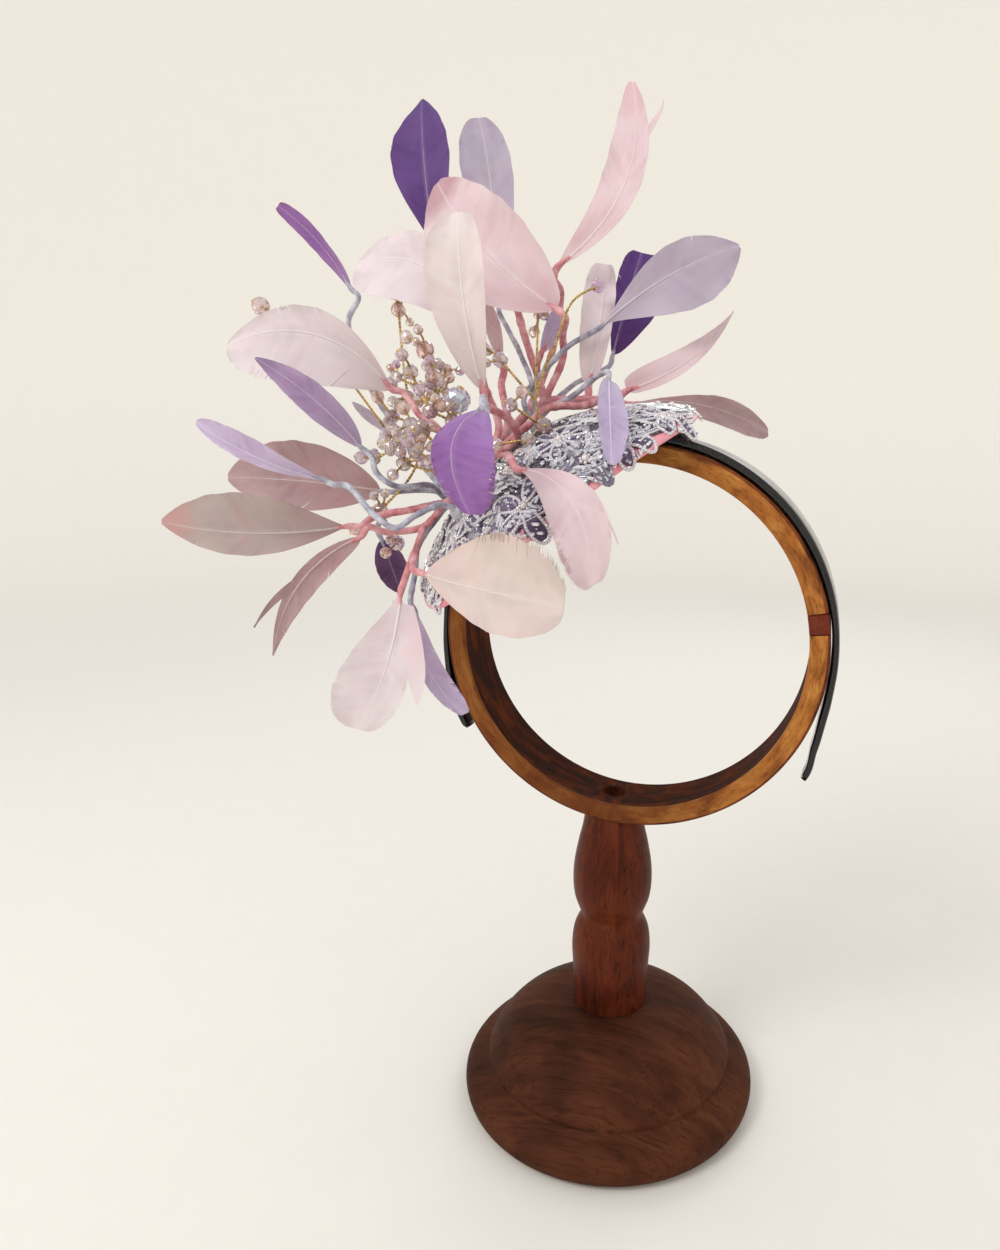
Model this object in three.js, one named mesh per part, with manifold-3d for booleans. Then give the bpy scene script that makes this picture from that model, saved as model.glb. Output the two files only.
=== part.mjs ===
// A feather fascinator on its headband, which sits on a turned wooden ring stand.
// Millimetres, +Z up. The front is -Y. The origin is the middle of the stand's foot, on the
// surface that it stands on. Places in the ring, headband and spray are measured from the
// ring's centre, because that is the point that the headband and the base curve round.
import * as THREE from 'three';
import { mergeVertices } from 'three/addons/utils/BufferGeometryUtils.js';
import Module from 'manifold-3d';

const wasm = await Module();
wasm.setup();

// Clearance between pieces that touch
const GAP = 0.3;

// Ring: its axis runs front to back
const RING_CENTRE = new THREE.Vector3(7, 0, 203);
const RING_OUTER = 75;
const RING_INNER = 67.4;
const RING_DEPTH = 26.4;
const RING_EDGE = 1.0;
const SCREW_HOLE_RADIUS = 6.5;
const SCREW_HOLE_DEPTH = 3;
const KEY_FROM = THREE.MathUtils.degToRad(6.2);
const KEY_TO = THREE.MathUtils.degToRad(12.2);
const KEY_DEPTH = 7;

// Stem and foot, turned about the vertical through the origin
const STEM_FOOT_HEIGHT = 41;
const STEM_TOP_HEIGHT = 136;
const STEM_PROFILE = [
  { height: STEM_FOOT_HEIGHT + GAP, radius: 15.2 },
  { height: 50, radius: 15.7 },
  { height: 60, radius: 16.4 },
  { height: 68, radius: 16.7 },
  { height: 75, radius: 15.8 },
  { height: 79, radius: 14.2 },
  { height: 81.5, radius: 12.9 },
  { height: 84, radius: 13.7 },
  { height: 90, radius: 15.8 },
  { height: 97, radius: 16.6 },
  { height: 105, radius: 16.2 },
  { height: 114, radius: 14.6 },
  { height: 123, radius: 12.6 },
  { height: STEM_TOP_HEIGHT, radius: 11.4 },
];
const FOOT_PROFILE = [
  { height: 0, radius: 57 },
  { height: 2.5, radius: 61 },
  { height: 6, radius: 62.4 },
  { height: 10, radius: 62 },
  { height: 13.5, radius: 59 },
  { height: 17, radius: 52.8 },
  { height: 19, radius: 52.3 },
  { height: 25, radius: 49 },
  { height: 32, radius: 42.5 },
  { height: 38, radius: 32 },
  { height: STEM_FOOT_HEIGHT, radius: 17 },
];
const FOOT_SIDES = 32;
const STEM_SIDES = 20;
const RING_SIDES = 48;

// Headband: a row for each section, by its angle round the ring from the right-hand side
const BAND_SECTIONS = [
  { angle: -36.6, inner: 84.0, thick: 2.2, half: 2.6, middle: -3 },
  { angle: -35.4, inner: 83.2, thick: 2.7, half: 4.2, middle: -3 },
  { angle: -28, inner: 79.4, thick: 3.0, half: 5.5, middle: -3 },
  { angle: -18, inner: 76.4, thick: 3.2, half: 7, middle: -2.5 },
  { angle: -8, inner: 75.4, thick: 3.0, half: 8.5, middle: -2 },
  { angle: 4, inner: 75.3, thick: 2.8, half: 10, middle: -1.2 },
  { angle: 20, inner: 75.3, thick: 3.1, half: 12, middle: -0.4 },
  { angle: 45, inner: 75.3, thick: 3.5, half: 13, middle: 0 },
  { angle: 90, inner: 75.3, thick: 3.6, half: 13, middle: 0 },
  { angle: 135, inner: 75.3, thick: 3.5, half: 13, middle: 0 },
  { angle: 160, inner: 75.3, thick: 3.1, half: 12, middle: -0.4 },
  { angle: 176, inner: 75.3, thick: 2.8, half: 10, middle: -1.2 },
  { angle: 188, inner: 76.3, thick: 3.0, half: 8.5, middle: -2 },
  { angle: 198, inner: 78.2, thick: 3.0, half: 7, middle: -2.5 },
  { angle: 206, inner: 79.8, thick: 3.0, half: 5.5, middle: -3 },
  { angle: 211, inner: 81.0, thick: 2.7, half: 4.2, middle: -3 },
  { angle: 212.2, inner: 81.4, thick: 2.2, half: 2.6, middle: -3 },
];
const BAND_BEVEL = 0.3;
const BAND_STEP = 8;
const BINDING_FROM = THREE.MathUtils.degToRad(76);
const BINDING_TO = THREE.MathUtils.degToRad(83);
const BINDING_THICK = 0.8;
const BINDING_INNER = 76;
const BINDING_OUTER = 79.2;
const BINDING_HALF = 13.3;

// Base: an oval dome, wider round the band than across it, turned and tipped to the front
const BASE_BEARING = THREE.MathUtils.degToRad(118.5);
const BASE_TIP = THREE.MathUtils.degToRad(21.3);
const BASE_TURN = THREE.MathUtils.degToRad(-31);
const BASE_REACH = 81.7;
const BASE_FORWARD = 22;
const BASE_DOME_RADIUS = 80;
const BASE_HALF_LENGTH = 63;
const BASE_HALF_WIDTH = 46;
const PAD_THICK = 2.6;
const UNDERLAY_THICK = 1.0;
const UNDERLAY_INSET = 2.5;
const LACE_THICK = 1.4;
const LACE_INSET = 3;
const LACE_SCALLOPS = 12;
const LACE_SCALLOP_DEPTH = 2.2;
const ROOM_DEPTH = 8;
const ROOM_MARGIN = 4;
const SHELL_SPOKES = 36;
const SHELL_RINGS = [0.35, 0.68];

// Feathers: thin curved blades, each with its quill down the middle
const FEATHER_THICK = 1.0;
const FEATHER_CUP = 0.18;
const LOCK_THICK = 0.8;
const LOCK_END = 0.5;
const LOCK_STATIONS = [0, 0.35, 0.7, 1];
const QUILL_HALF_WIDTH = 0.9;
const FEATHER_STATIONS = [0, 0.16, 0.36, 0.58, 0.79, 0.93, 1];
const FRONT = new THREE.Vector3(0.36, -0.93, 0.06).normalize();

// A row for each feather, from the ring's centre: its quill's root and tip, how far the
// quill bows to its right and lifts to the front, the half widths left and right of it, how
// slowly it widens from the root and narrows to the tip, and the angle that its face is
// turned away from the front at the root and at the tip.
const FEATHERS = [
  {
    name: 'feather_01_dark_purple', colour: 'darkPurple', root: [-94, 22, 152], tip: [-112, 51, 220],
    bow: -1, lift: 6, left: 14, right: 11.5, widen: 1.25, narrow: 1.05, rootTurn: 0, tipTurn: 25,
  },
  {
    name: 'feather_02_lilac_grey', colour: 'lilacGrey', root: [-68, 27, 132], tip: [-87, 54, 212],
    bow: 2, lift: 4, left: 12, right: 10, widen: 0.97, narrow: 0.37, rootTurn: 0, tipTurn: 0,
  },
  {
    name: 'feather_03_tall_pink', colour: 'pink', root: [-36, 7, 140], tip: [-11, 18, 207],
    bow: 12, lift: 6, left: 10, right: 7, widen: 0.8, narrow: 0.62, rootTurn: 20, tipTurn: 40,
  },
  {
    name: 'feather_04_large_pink', colour: 'pink', root: [-33, -1, 123], tip: [-85, 6, 173],
    bow: -5.5, lift: 4, left: 19, right: 17.5, widen: 0.71, narrow: 0.7, rootTurn: -10, tipTurn: 10,
  },
  {
    name: 'feather_05_ivory', colour: 'ivory', root: [-50, -34, 91], tip: [-56, -40, 150],
    bow: -2.5, lift: 8, left: 12, right: 7.7, widen: 0.8, narrow: 0.22, rootTurn: 0, tipTurn: 0,
  },
  {
    name: 'feather_06_pale_pink', colour: 'palePink', root: [-61, -21, 119], tip: [-105, -23, 137],
    bow: 9, lift: 4, left: 16, right: 10.5, widen: 0.72, narrow: 0.48, rootTurn: 0, tipTurn: 0,
  },
  {
    name: 'feather_07_purple_curl', colour: 'purple', root: [-112, -15, 131], tip: [-135, -26, 159],
    bow: 2.5, lift: 0, left: 4, right: 4.5, widen: 0.45, narrow: 0.3, rootTurn: 55, tipTurn: 40,
  },
  {
    name: 'feather_08_pinkish_white', colour: 'palePink', root: [-85, -35, 92], tip: [-136, -59, 105],
    bow: 11, lift: 6, left: 18, right: 9, widen: 0.9, narrow: 0.65, rootTurn: 0, tipTurn: 0,
  },
  {
    name: 'feather_09_mauve', colour: 'mauve', root: [-89, -51, 71], tip: [-115, -73, 100],
    bow: 2.5, lift: 4, left: 5.6, right: 6.4, widen: 0.78, narrow: 0.86, rootTurn: 25, tipTurn: 25,
  },
  {
    name: 'feather_10_lilac', colour: 'lilac', root: [-103, -55, 60], tip: [-138, -75, 79],
    bow: -2, lift: 5, left: 3.2, right: 7, widen: 1.0, narrow: 0.6, rootTurn: 30, tipTurn: 30,
  },
  {
    name: 'feather_11_shadow_pink', colour: 'dustyPink', root: [-94, -28, 55], tip: [-154, -40, 59],
    bow: 1, lift: 4, left: 11, right: 15, widen: 0.8, narrow: 0.75, rootTurn: 0, tipTurn: 0,
  },
  {
    name: 'feather_12_grey_pink', colour: 'greyPink', root: [-98, -47, 43], tip: [-153, -78, 45],
    bow: -3, lift: 6, left: 8, right: 14, widen: 1.2, narrow: 0.9, rootTurn: 0, tipTurn: 0,
  },
  {
    name: 'feather_13_forked', colour: 'dustyPink', root: [-91, -50, 40], tip: [-113, -75, -1],
    bow: 7, lift: 4, left: 6, right: 3, widen: 0.7, narrow: 1.0, rootTurn: 10, tipTurn: 10,
  },
  {
    name: 'feather_14_plum', colour: 'plum', root: [-98, -23, 36], tip: [-90, -23, 15],
    bow: 0, lift: 0, left: 6, right: 6, widen: 0.72, narrow: 0.68, rootTurn: 10, tipTurn: 10,
  },
  {
    name: 'feather_15_slit', colour: 'palePink', root: [-75, -52, 21], tip: [-81, -74, -25],
    bow: -3, lift: 5, left: 9, right: 15, widen: 1.2, narrow: 0.45, rootTurn: 0, tipTurn: 0,
  },
  {
    name: 'feather_16_lilac', colour: 'lilac', root: [-73, -45, 12], tip: [-51, -51, -23],
    bow: 4.3, lift: 3, left: 5.4, right: 3.7, widen: 0.65, narrow: 0.41, rootTurn: 20, tipTurn: 20,
  },
  {
    name: 'feather_17_cream', colour: 'cream', root: [-61, -63, 30], tip: [-1, -92, 27],
    bow: 0, lift: 6, left: 19, right: 12, widen: 1.2, narrow: 0.45, rootTurn: 0, tipTurn: 0,
  },
  {
    name: 'feather_18_front_pink', colour: 'pink', root: [-33, -46, 65], tip: [2, -71, 30],
    bow: -8.3, lift: 8, left: 8.7, right: 10.5, widen: 1.13, narrow: 0.45, rootTurn: 0, tipTurn: 0,
  },
  {
    name: 'feather_19_vivid_purple', colour: 'purple', root: [-36, -70, 84], tip: [-33, -87, 52],
    bow: 7.4, lift: 6, left: 13, right: 6.1, widen: 0.71, narrow: 0.48, rootTurn: 0, tipTurn: 0,
  },
  {
    name: 'feather_20_hanging_lilac', colour: 'lilac', root: [-9, -16, 97], tip: [3, -57, 67],
    bow: 0.3, lift: 1, left: 6.3, right: 4.8, widen: 0.45, narrow: 0.52, rootTurn: 20, tipTurn: 0,
  },
  {
    name: 'feather_21_upright_pink', colour: 'palePink', root: [-24, 12, 96], tip: [-21, 23, 144],
    bow: 0.7, lift: 4, left: 8, right: 5, widen: 0.45, narrow: 0.28, rootTurn: 10, tipTurn: 10,
  },
  {
    name: 'feather_22_dark_purple', colour: 'darkPurple', root: [-21, 37, 110], tip: [-12, 48, 153],
    bow: -0.7, lift: 4, left: 6.5, right: 16, widen: 0.76, narrow: 0.27, rootTurn: 10, tipTurn: 10,
  },
  {
    name: 'feather_23_blunt_lilac', colour: 'lilacGrey', root: [-19, 9, 118], tip: [32, 21, 148],
    bow: -3, lift: 5, left: 10, right: 15.5, widen: 1.5, narrow: 0.9, rootTurn: 0, tipTurn: 0,
  },
  {
    name: 'feather_24_narrow_pink', colour: 'pink', root: [-8, 7, 94], tip: [29, 35, 127],
    bow: 5, lift: 4, left: 7, right: 3.6, widen: 0.4, narrow: 1.2, rootTurn: 20, tipTurn: 20,
  },
  {
    name: 'feather_25_far_right_pink', colour: 'dustyPink', root: [-11, 23, 90], tip: [44, 56, 80],
    bow: -5.4, lift: 0, left: 6, right: 9, widen: 1.6, narrow: 0.6, rootTurn: 25, tipTurn: 25,
  },
  {
    name: 'feather_26_small_grey', colour: 'lilacGrey', root: [-103, -3, 77], tip: [-118, -7, 89],
    bow: 0, lift: 0, left: 2.6, right: 3, widen: 0.71, narrow: 0.73, rootTurn: 40, tipTurn: 40,
  },
  {
    name: 'feather_27_small_lilac', colour: 'lilac', root: [-43, 8, 108], tip: [-38, 15, 127],
    bow: 1, lift: 0, left: 3.3, right: 3.5, widen: 0.8, narrow: 0.6, rootTurn: 0, tipTurn: 0,
  },
  {
    name: 'feather_28_small_peach', colour: 'pink', root: [-57, 2, 105], tip: [-64, 4, 128],
    bow: 0, lift: 0, left: 3.1, right: 3.1, widen: 0.8, narrow: 0.6, rootTurn: 0, tipTurn: 0,
  },
];

// Locks of barbs that split off a feather's blade. Each runs along the blade's own surface
// from one place to another, and a place is its share of the quill's length and its distance
// to the right of the quill.
const LOCKS = [
  { of: 'feather_03_tall_pink', from: [0.45, 2], to: [0.9, 14], half: 2.6 },
  { of: 'feather_13_forked', from: [0.3, 0], to: [0.8, 17], half: 2.2 },
  { of: 'feather_15_slit', from: [0.08, 0], to: [0.72, -15], half: 3.6 },
  { of: 'feather_18_front_pink', from: [0.42, -6], to: [0.72, -15], half: 1.0 },
];

// Seats of the bundles on the base, in its own oval: along it and across it to the front
const SEATS = {
  pinkMiddle: [-12, -14],
  pinkLeft: [-24, 0],
  greyRight: [14, -20],
  greyBack: [-30, -24],
  greyFront: [-34, 4],
  beadLeft: [-22, 10],
  beadRight: [10, 2],
};
const KNOB_RADIUS = 3;
const KNOB_RISE = 3.5;
const STEM_RUN = 4;
const STEM_SHORT = 0.5;

// Tape-wound stems: a row for each, with the feather that it ends in, the points that it
// passes on its way, and the point of another stem that it leaves, if it doesn't start from
// its bundle's seat
const PINK_TAPE_RADIUS = 1.6;
const GREY_TAPE_RADIUS = 1.35;
const TAPE_STEP = 12;
const STEM_BUNDLES = [
  {
    name: 'stems_pink_middle', seat: 'pinkMiddle', colour: 'pinkTape', radius: PINK_TAPE_RADIUS,
    stems: [
      { to: 'feather_05_ivory', via: [[-43, -19, 75], [-44, -24, 82]] },
      {
        to: 'feather_25_far_right_pink',
        via: [[-48, -12, 75], [-40, -13, 81], [-34, -10, 87], [-23, -4, 88], [-17, 10, 91]],
      },
      { to: 'feather_24_narrow_pink', via: [[-51, -1, 79], [-42, 10, 90], [-24, 9, 91]] },
      { to: 'feather_21_upright_pink', from: [-42, 10, 90], via: [[-30, 13, 91]] },
      { to: 'feather_04_large_pink', from: [-42, 10, 90], via: [[-35, 13, 108], [-34, 8, 115]] },
      {
        to: 'feather_03_tall_pink', from: [-51, -1, 79],
        via: [[-49, 24, 96], [-44, 30, 116], [-37, 14, 133]],
      },
      {
        to: 'feather_01_dark_purple', from: [-42, 10, 90],
        via: [[-45, 11, 100], [-49, 14, 108], [-54, 17, 120], [-60, 22, 131], [-80, 25, 140]],
      },
      { to: 'feather_06_pale_pink', via: [[-52, -14, 79], [-57, -18, 97]] },
      { to: 'feather_18_front_pink', via: [[-47, -22, 69]] },
      { to: 'feather_27_small_lilac', from: [-45, 11, 100], via: [] },
      { to: 'feather_28_small_peach', via: [[-52, -5, 81], [-56, -1, 96]] },
    ],
  },
  {
    name: 'stems_pink_left', seat: 'pinkLeft', colour: 'pinkTape', radius: PINK_TAPE_RADIUS,
    stems: [
      { to: 'feather_08_pinkish_white', via: [[-59, -34, 66], [-67, -37, 79], [-74, -36, 83]] },
      { to: 'feather_12_grey_pink', via: [[-65, -35, 52], [-78, -38, 49], [-91, -42, 46]] },
      { to: 'feather_13_forked', from: [-65, -35, 52], via: [[-74, -34, 43], [-85, -42, 41]] },
      { to: 'feather_15_slit', from: [-74, -34, 43], via: [[-73, -41, 38]] },
      { to: 'feather_17_cream', from: [-73, -41, 38], via: [[-67, -58, 31]] },
    ],
  },
  {
    name: 'stems_grey_right', seat: 'greyRight', colour: 'greyTape', radius: GREY_TAPE_RADIUS,
    stems: [
      { to: 'feather_23_blunt_lilac', via: [[-47, 0, 90], [-39, 5, 103], [-31, 7, 111]] },
      {
        to: 'feather_02_lilac_grey', from: [-42, 0, 83],
        via: [[-45, 4, 96], [-56, 17, 112], [-66, 24, 126]],
      },
      { to: 'feather_20_hanging_lilac', via: [[-38, 0, 86], [-27, 0, 92], [-17, -2, 99]] },
      { to: 'feather_22_dark_purple', via: [[-45, 21, 87], [-35, 28, 98]] },
    ],
  },
  {
    name: 'stems_grey_back', seat: 'greyBack', colour: 'greyTape', radius: GREY_TAPE_RADIUS,
    stems: [
      { to: 'feather_07_purple_curl', via: [[-94, -9, 74], [-111, -11, 101], [-114, -14, 119]] },
      { to: 'feather_09_mauve', via: [[-72, -21, 53], [-72, -33, 58], [-80, -45, 58], [-85, -49, 63]] },
      { to: 'feather_11_shadow_pink', via: [[-77, -18, 55], [-87, -24, 55]] },
      { to: 'feather_14_plum', via: [[-90, -20, 47], [-98, -22, 44]] },
      { to: 'feather_16_lilac', via: [[-79, -29, 35], [-77, -36, 27]] },
      { to: 'feather_26_small_grey', via: [[-83, -9, 63], [-95, -6, 72]] },
    ],
  },
  {
    name: 'stems_grey_front', seat: 'greyFront', colour: 'greyTape', radius: GREY_TAPE_RADIUS,
    stems: [
      {
        to: 'feather_10_lilac',
        via: [[-61, -48, 52], [-69, -52, 48], [-75, -55, 44], [-82, -56, 48], [-93, -55, 58]],
      },
      { to: 'feather_19_vivid_purple', via: [[-45, -51, 56], [-40, -60, 72], [-37, -64, 84]] },
    ],
  },
];

// Beads on gold wire: a row for each, with its centre, its radius, any points that its wire
// passes, and where the wire leaves another one, if it doesn't start from the seat
const WIRE_RADIUS = 0.55;
const WIRE_SIDES = 5;
const WIRE_STEP = 40;
const BEAD_SIDES = 10;
const BEAD_ROWS = 4;
const BEAD_SPRAYS = [
  {
    name: 'bead_spray_left', seat: 'beadLeft',
    beads: [
      { at: [-77, -9, 93], radius: 2.8, via: [[-52, -33, 72]] },
      { at: [-84, -15, 94], radius: 2.8, from: [-77, -9, 93] },
      { at: [-94, -15, 98], radius: 2.6, from: [-84, -15, 94] },
      { at: [-91, -24, 83], radius: 2.8, from: [-52, -33, 72] },
      { at: [-97, -24, 90], radius: 2.6, from: [-91, -24, 83] },
      { at: [-96, -18, 77], radius: 2.6, from: [-91, -24, 83] },
      { at: [-138, -35, 122], radius: 3.5, from: [-96, -18, 77], via: [[-121, -24, 109]] },
      { at: [-71, -28, 89], radius: 2.5, from: [-52, -33, 72] },
      { at: [-71, -30, 97], radius: 3.3, from: [-71, -28, 89] },
      { at: [-71, -19, 100], radius: 2.6, from: [-71, -28, 89] },
      { at: [-78, -22, 107], radius: 3.6, from: [-71, -19, 100] },
      { at: [-84, -25, 90], radius: 2.5, from: [-71, -28, 89] },
      { at: [-90, -19, 122], radius: 3, from: [-84, -25, 90], via: [[-88, -20, 102]] },
      { at: [-93, -32, 48], radius: 3.1, from: [-71, -28, 89], via: [[-80, -31, 62]] },
      { at: [-100, -39, 41], radius: 2.4, from: [-93, -32, 48] },
      { at: [-86, -33, 36], radius: 3.1, from: [-93, -32, 48] },
      { at: [-59, -41, 81], radius: 2.8 },
      { at: [-57, -41, 88], radius: 4.8, from: [-59, -41, 81] },
      { at: [-65, -46, 84], radius: 2.8, from: [-59, -41, 81] },
      { at: [-77, -36, 98], radius: 2.8, from: [-65, -46, 84] },
      { at: [-68, -46, 77], radius: 2.8 },
      { at: [-74, -43, 79], radius: 3.3, from: [-68, -46, 77] },
      { at: [-75, -47, 66], radius: 2.8 },
      { at: [-68, -52, 70], radius: 2.6, from: [-75, -47, 66] },
      { at: [-80, -40, 73], radius: 3.1, from: [-75, -47, 66] },
      { at: [-91, -38, 67], radius: 2, from: [-80, -40, 73] },
    ],
  },
  {
    name: 'bead_spray_right', seat: 'beadRight',
    beads: [
      { at: [-20, 8, 133], radius: 2.8, via: [[-36, -18, 89], [-31, -10, 110], [-27, -2, 126]] },
      { at: [-44, 8, 123], radius: 2, from: [-36, -18, 89], via: [[-39, -8, 106]] },
      { at: [-51, -15, 104], radius: 3.1, from: [-36, -18, 89] },
      { at: [-41, -31, 87], radius: 2.7 },
      { at: [-31, -23, 80], radius: 3.1 },
      { at: [-35, -29, 75], radius: 2.9 },
      { at: [-45, -35, 73], radius: 2.5, from: [-35, -29, 75] },
    ],
  },
];

// Colours and finishes
const FINISHES = {
  ringWood: { color: 0xa8672c, roughness: 0.5, metalness: 0 },
  keyWood: { color: 0x6b2f1a, roughness: 0.5, metalness: 0 },
  stemWood: { color: 0x65301e, roughness: 0.55, metalness: 0 },
  footWood: { color: 0x5a3728, roughness: 0.65, metalness: 0 },
  blackBand: { color: 0x0b0a0a, roughness: 0.2, metalness: 0 },
  blackThread: { color: 0x14110f, roughness: 0.8, metalness: 0 },
  pinkSatin: { color: 0xee8a9b, roughness: 0.35, metalness: 0 },
  darkLining: { color: 0x241c1e, roughness: 0.8, metalness: 0 },
  silverLace: { color: 0xb3adc2, roughness: 0.45, metalness: 0.3 },
  ivory: { color: 0xe8dcd7, roughness: 0.6, metalness: 0 },
  cream: { color: 0xe4d6cf, roughness: 0.6, metalness: 0 },
  palePink: { color: 0xe8d8dd, roughness: 0.6, metalness: 0 },
  pink: { color: 0xebcbd2, roughness: 0.6, metalness: 0 },
  dustyPink: { color: 0xbe9ba0, roughness: 0.65, metalness: 0 },
  greyPink: { color: 0xc4b3b3, roughness: 0.65, metalness: 0 },
  lilac: { color: 0xc6b4d4, roughness: 0.6, metalness: 0 },
  lilacGrey: { color: 0xb4a8be, roughness: 0.6, metalness: 0 },
  mauve: { color: 0xb093bb, roughness: 0.6, metalness: 0 },
  purple: { color: 0x9664a5, roughness: 0.6, metalness: 0 },
  darkPurple: { color: 0x5c347a, roughness: 0.6, metalness: 0 },
  plum: { color: 0x5f3c64, roughness: 0.65, metalness: 0 },
  pinkTape: { color: 0xd77d87, roughness: 0.7, metalness: 0 },
  greyTape: { color: 0xa5a5b9, roughness: 0.7, metalness: 0 },
  beadsAndWire: { color: 0xd9b9b4, roughness: 0.15, metalness: 0.2 },
};

// Geometry helpers

function fromRing([x, y, z]) {
  return new THREE.Vector3(x, y, z).add(RING_CENTRE);
}

// The point at a radius and an angle round the ring, at a place along its axis
function roundRing(radius, angle, y) {
  return new THREE.Vector3(radius * Math.cos(angle), y, radius * Math.sin(angle)).add(RING_CENTRE);
}

function signedVolume(positions, index) {
  let sum = 0;
  const corner = (k) => new THREE.Vector3().fromArray(positions, 3 * index[k]);
  for (let k = 0; k < index.length; k += 3) {
    sum += corner(k).dot(corner(k + 1).cross(corner(k + 2)));
  }
  return sum / 6;
}

// A geometry from points and triangles, turned so that its faces point out
function closedGeometry(points, triangles) {
  const positions = points.flatMap((point) => point.toArray());
  const index = triangles.flat();
  if (signedVolume(positions, index) < 0) {
    index.reverse();
  }
  const geometry = new THREE.BufferGeometry();
  geometry.setAttribute('position', new THREE.Float32BufferAttribute(positions, 3));
  geometry.setIndex(index);
  return geometry;
}

function solidOf(geometry) {
  const bare = geometry.clone();
  bare.deleteAttribute('normal');
  bare.deleteAttribute('uv');
  const merged = mergeVertices(bare, 1e-4);
  return new wasm.Manifold(new wasm.Mesh({
    numProp: 3,
    vertProperties: new Float32Array(merged.attributes.position.array),
    triVerts: new Uint32Array(merged.index.array),
  }));
}

function geometryOf(solid) {
  const mesh = solid.getMesh();
  const geometry = new THREE.BufferGeometry();
  geometry.setAttribute('position', new THREE.Float32BufferAttribute(mesh.vertProperties, 3));
  geometry.setIndex(Array.from(mesh.triVerts));
  return geometry;
}

function fuse(solids) {
  return solids.reduce((whole, solid) => whole.add(solid));
}

// A closed tube from rows of section points, each row a ring of the same number of points
function tubeThrough(rows) {
  const sides = rows[0].length;
  const points = rows.flat();
  const triangles = [];
  for (let i = 0; i + 1 < rows.length; i += 1) {
    for (let j = 0; j < sides; j += 1) {
      const a = i * sides + j;
      const b = i * sides + ((j + 1) % sides);
      triangles.push([a, b, b + sides], [a, b + sides, a + sides]);
    }
  }
  const last = (rows.length - 1) * sides;
  for (let j = 1; j + 1 < sides; j += 1) {
    triangles.push([0, j + 1, j], [last, last + j, last + j + 1]);
  }
  return closedGeometry(points, triangles);
}

function turned(profile, segments) {
  const outline = [new THREE.Vector2(0, profile[0].height)];
  profile.forEach(({ radius, height }) => outline.push(new THREE.Vector2(radius, height)));
  outline.push(new THREE.Vector2(0, profile[profile.length - 1].height));
  return new THREE.LatheGeometry(outline, segments).rotateX(Math.PI / 2);
}

// A block that follows the ring between two angles, with a plain rectangular section
function ringBlock(inner, outer, back, front, from, to, steps) {
  const rows = [];
  for (let i = 0; i <= steps; i += 1) {
    const angle = from + ((to - from) * i) / steps;
    rows.push([
      roundRing(inner, angle, front),
      roundRing(outer, angle, front),
      roundRing(outer, angle, back),
      roundRing(inner, angle, back),
    ]);
  }
  return tubeThrough(rows);
}

// Stand

function standFoot() {
  return turned(FOOT_PROFILE, FOOT_SIDES);
}

function standStem() {
  const stem = solidOf(turned(STEM_PROFILE, STEM_SIDES));
  const bearing = RING_OUTER + GAP;
  const saddle = new THREE.CylinderGeometry(bearing, bearing, 3 * RING_DEPTH, 2 * RING_SIDES)
    .translate(RING_CENTRE.x, RING_CENTRE.y, RING_CENTRE.z);
  return geometryOf(stem.subtract(solidOf(saddle)));
}

// The key's block: flush with the ring's three faces, or with room all round it to cut its slot
function keyBlock(gap) {
  const turn = gap / RING_OUTER;
  const beyond = gap > 0 ? RING_EDGE : 0;
  return ringBlock(
    RING_INNER - beyond,
    RING_OUTER + beyond,
    KEY_DEPTH - 0.5 * RING_DEPTH + gap,
    -0.5 * RING_DEPTH - beyond,
    KEY_FROM - turn,
    KEY_TO + turn,
    2,
  );
}

function standRing() {
  const half = RING_DEPTH / 2;
  const outline = [
    [RING_INNER + RING_EDGE, -half],
    [RING_OUTER - RING_EDGE, -half],
    [RING_OUTER, RING_EDGE - half],
    [RING_OUTER, half - RING_EDGE],
    [RING_OUTER - RING_EDGE, half],
    [RING_INNER + RING_EDGE, half],
    [RING_INNER, half - RING_EDGE],
    [RING_INNER, RING_EDGE - half],
    [RING_INNER + RING_EDGE, -half],
  ].map(([radius, y]) => new THREE.Vector2(radius, y));
  const ring = solidOf(new THREE.LatheGeometry(outline, RING_SIDES).translate(...RING_CENTRE.toArray()));
  const narrow = 0.5 * SCREW_HOLE_RADIUS;
  const hole = new THREE.CylinderGeometry(SCREW_HOLE_RADIUS, narrow, 2 * SCREW_HOLE_DEPTH, 16)
    .rotateX(Math.PI / 2)
    .translate(0, 0, RING_CENTRE.z - RING_INNER);
  return geometryOf(ring.subtract(solidOf(hole)).subtract(solidOf(keyBlock(GAP))));
}

function ringKey() {
  return keyBlock(0);
}

// Headband

// One column of a table at a share of the way from a row to the next, on a smooth curve
// through the rows that never swings past them
function between(rows, i, share, key) {
  const value = (k) => rows[Math.min(Math.max(k, 0), rows.length - 1)][key];
  const slope = (k) => {
    const before = value(k) - value(k - 1);
    const after = value(k + 1) - value(k);
    return before * after > 0 ? (2 * before * after) / (before + after) : 0;
  };
  const t = share;
  return (2 * t ** 3 - 3 * t ** 2 + 1) * value(i) + (t ** 3 - 2 * t ** 2 + t) * slope(i)
    + (3 * t ** 2 - 2 * t ** 3) * value(i + 1) + (t ** 3 - t ** 2) * slope(i + 1);
}

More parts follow.
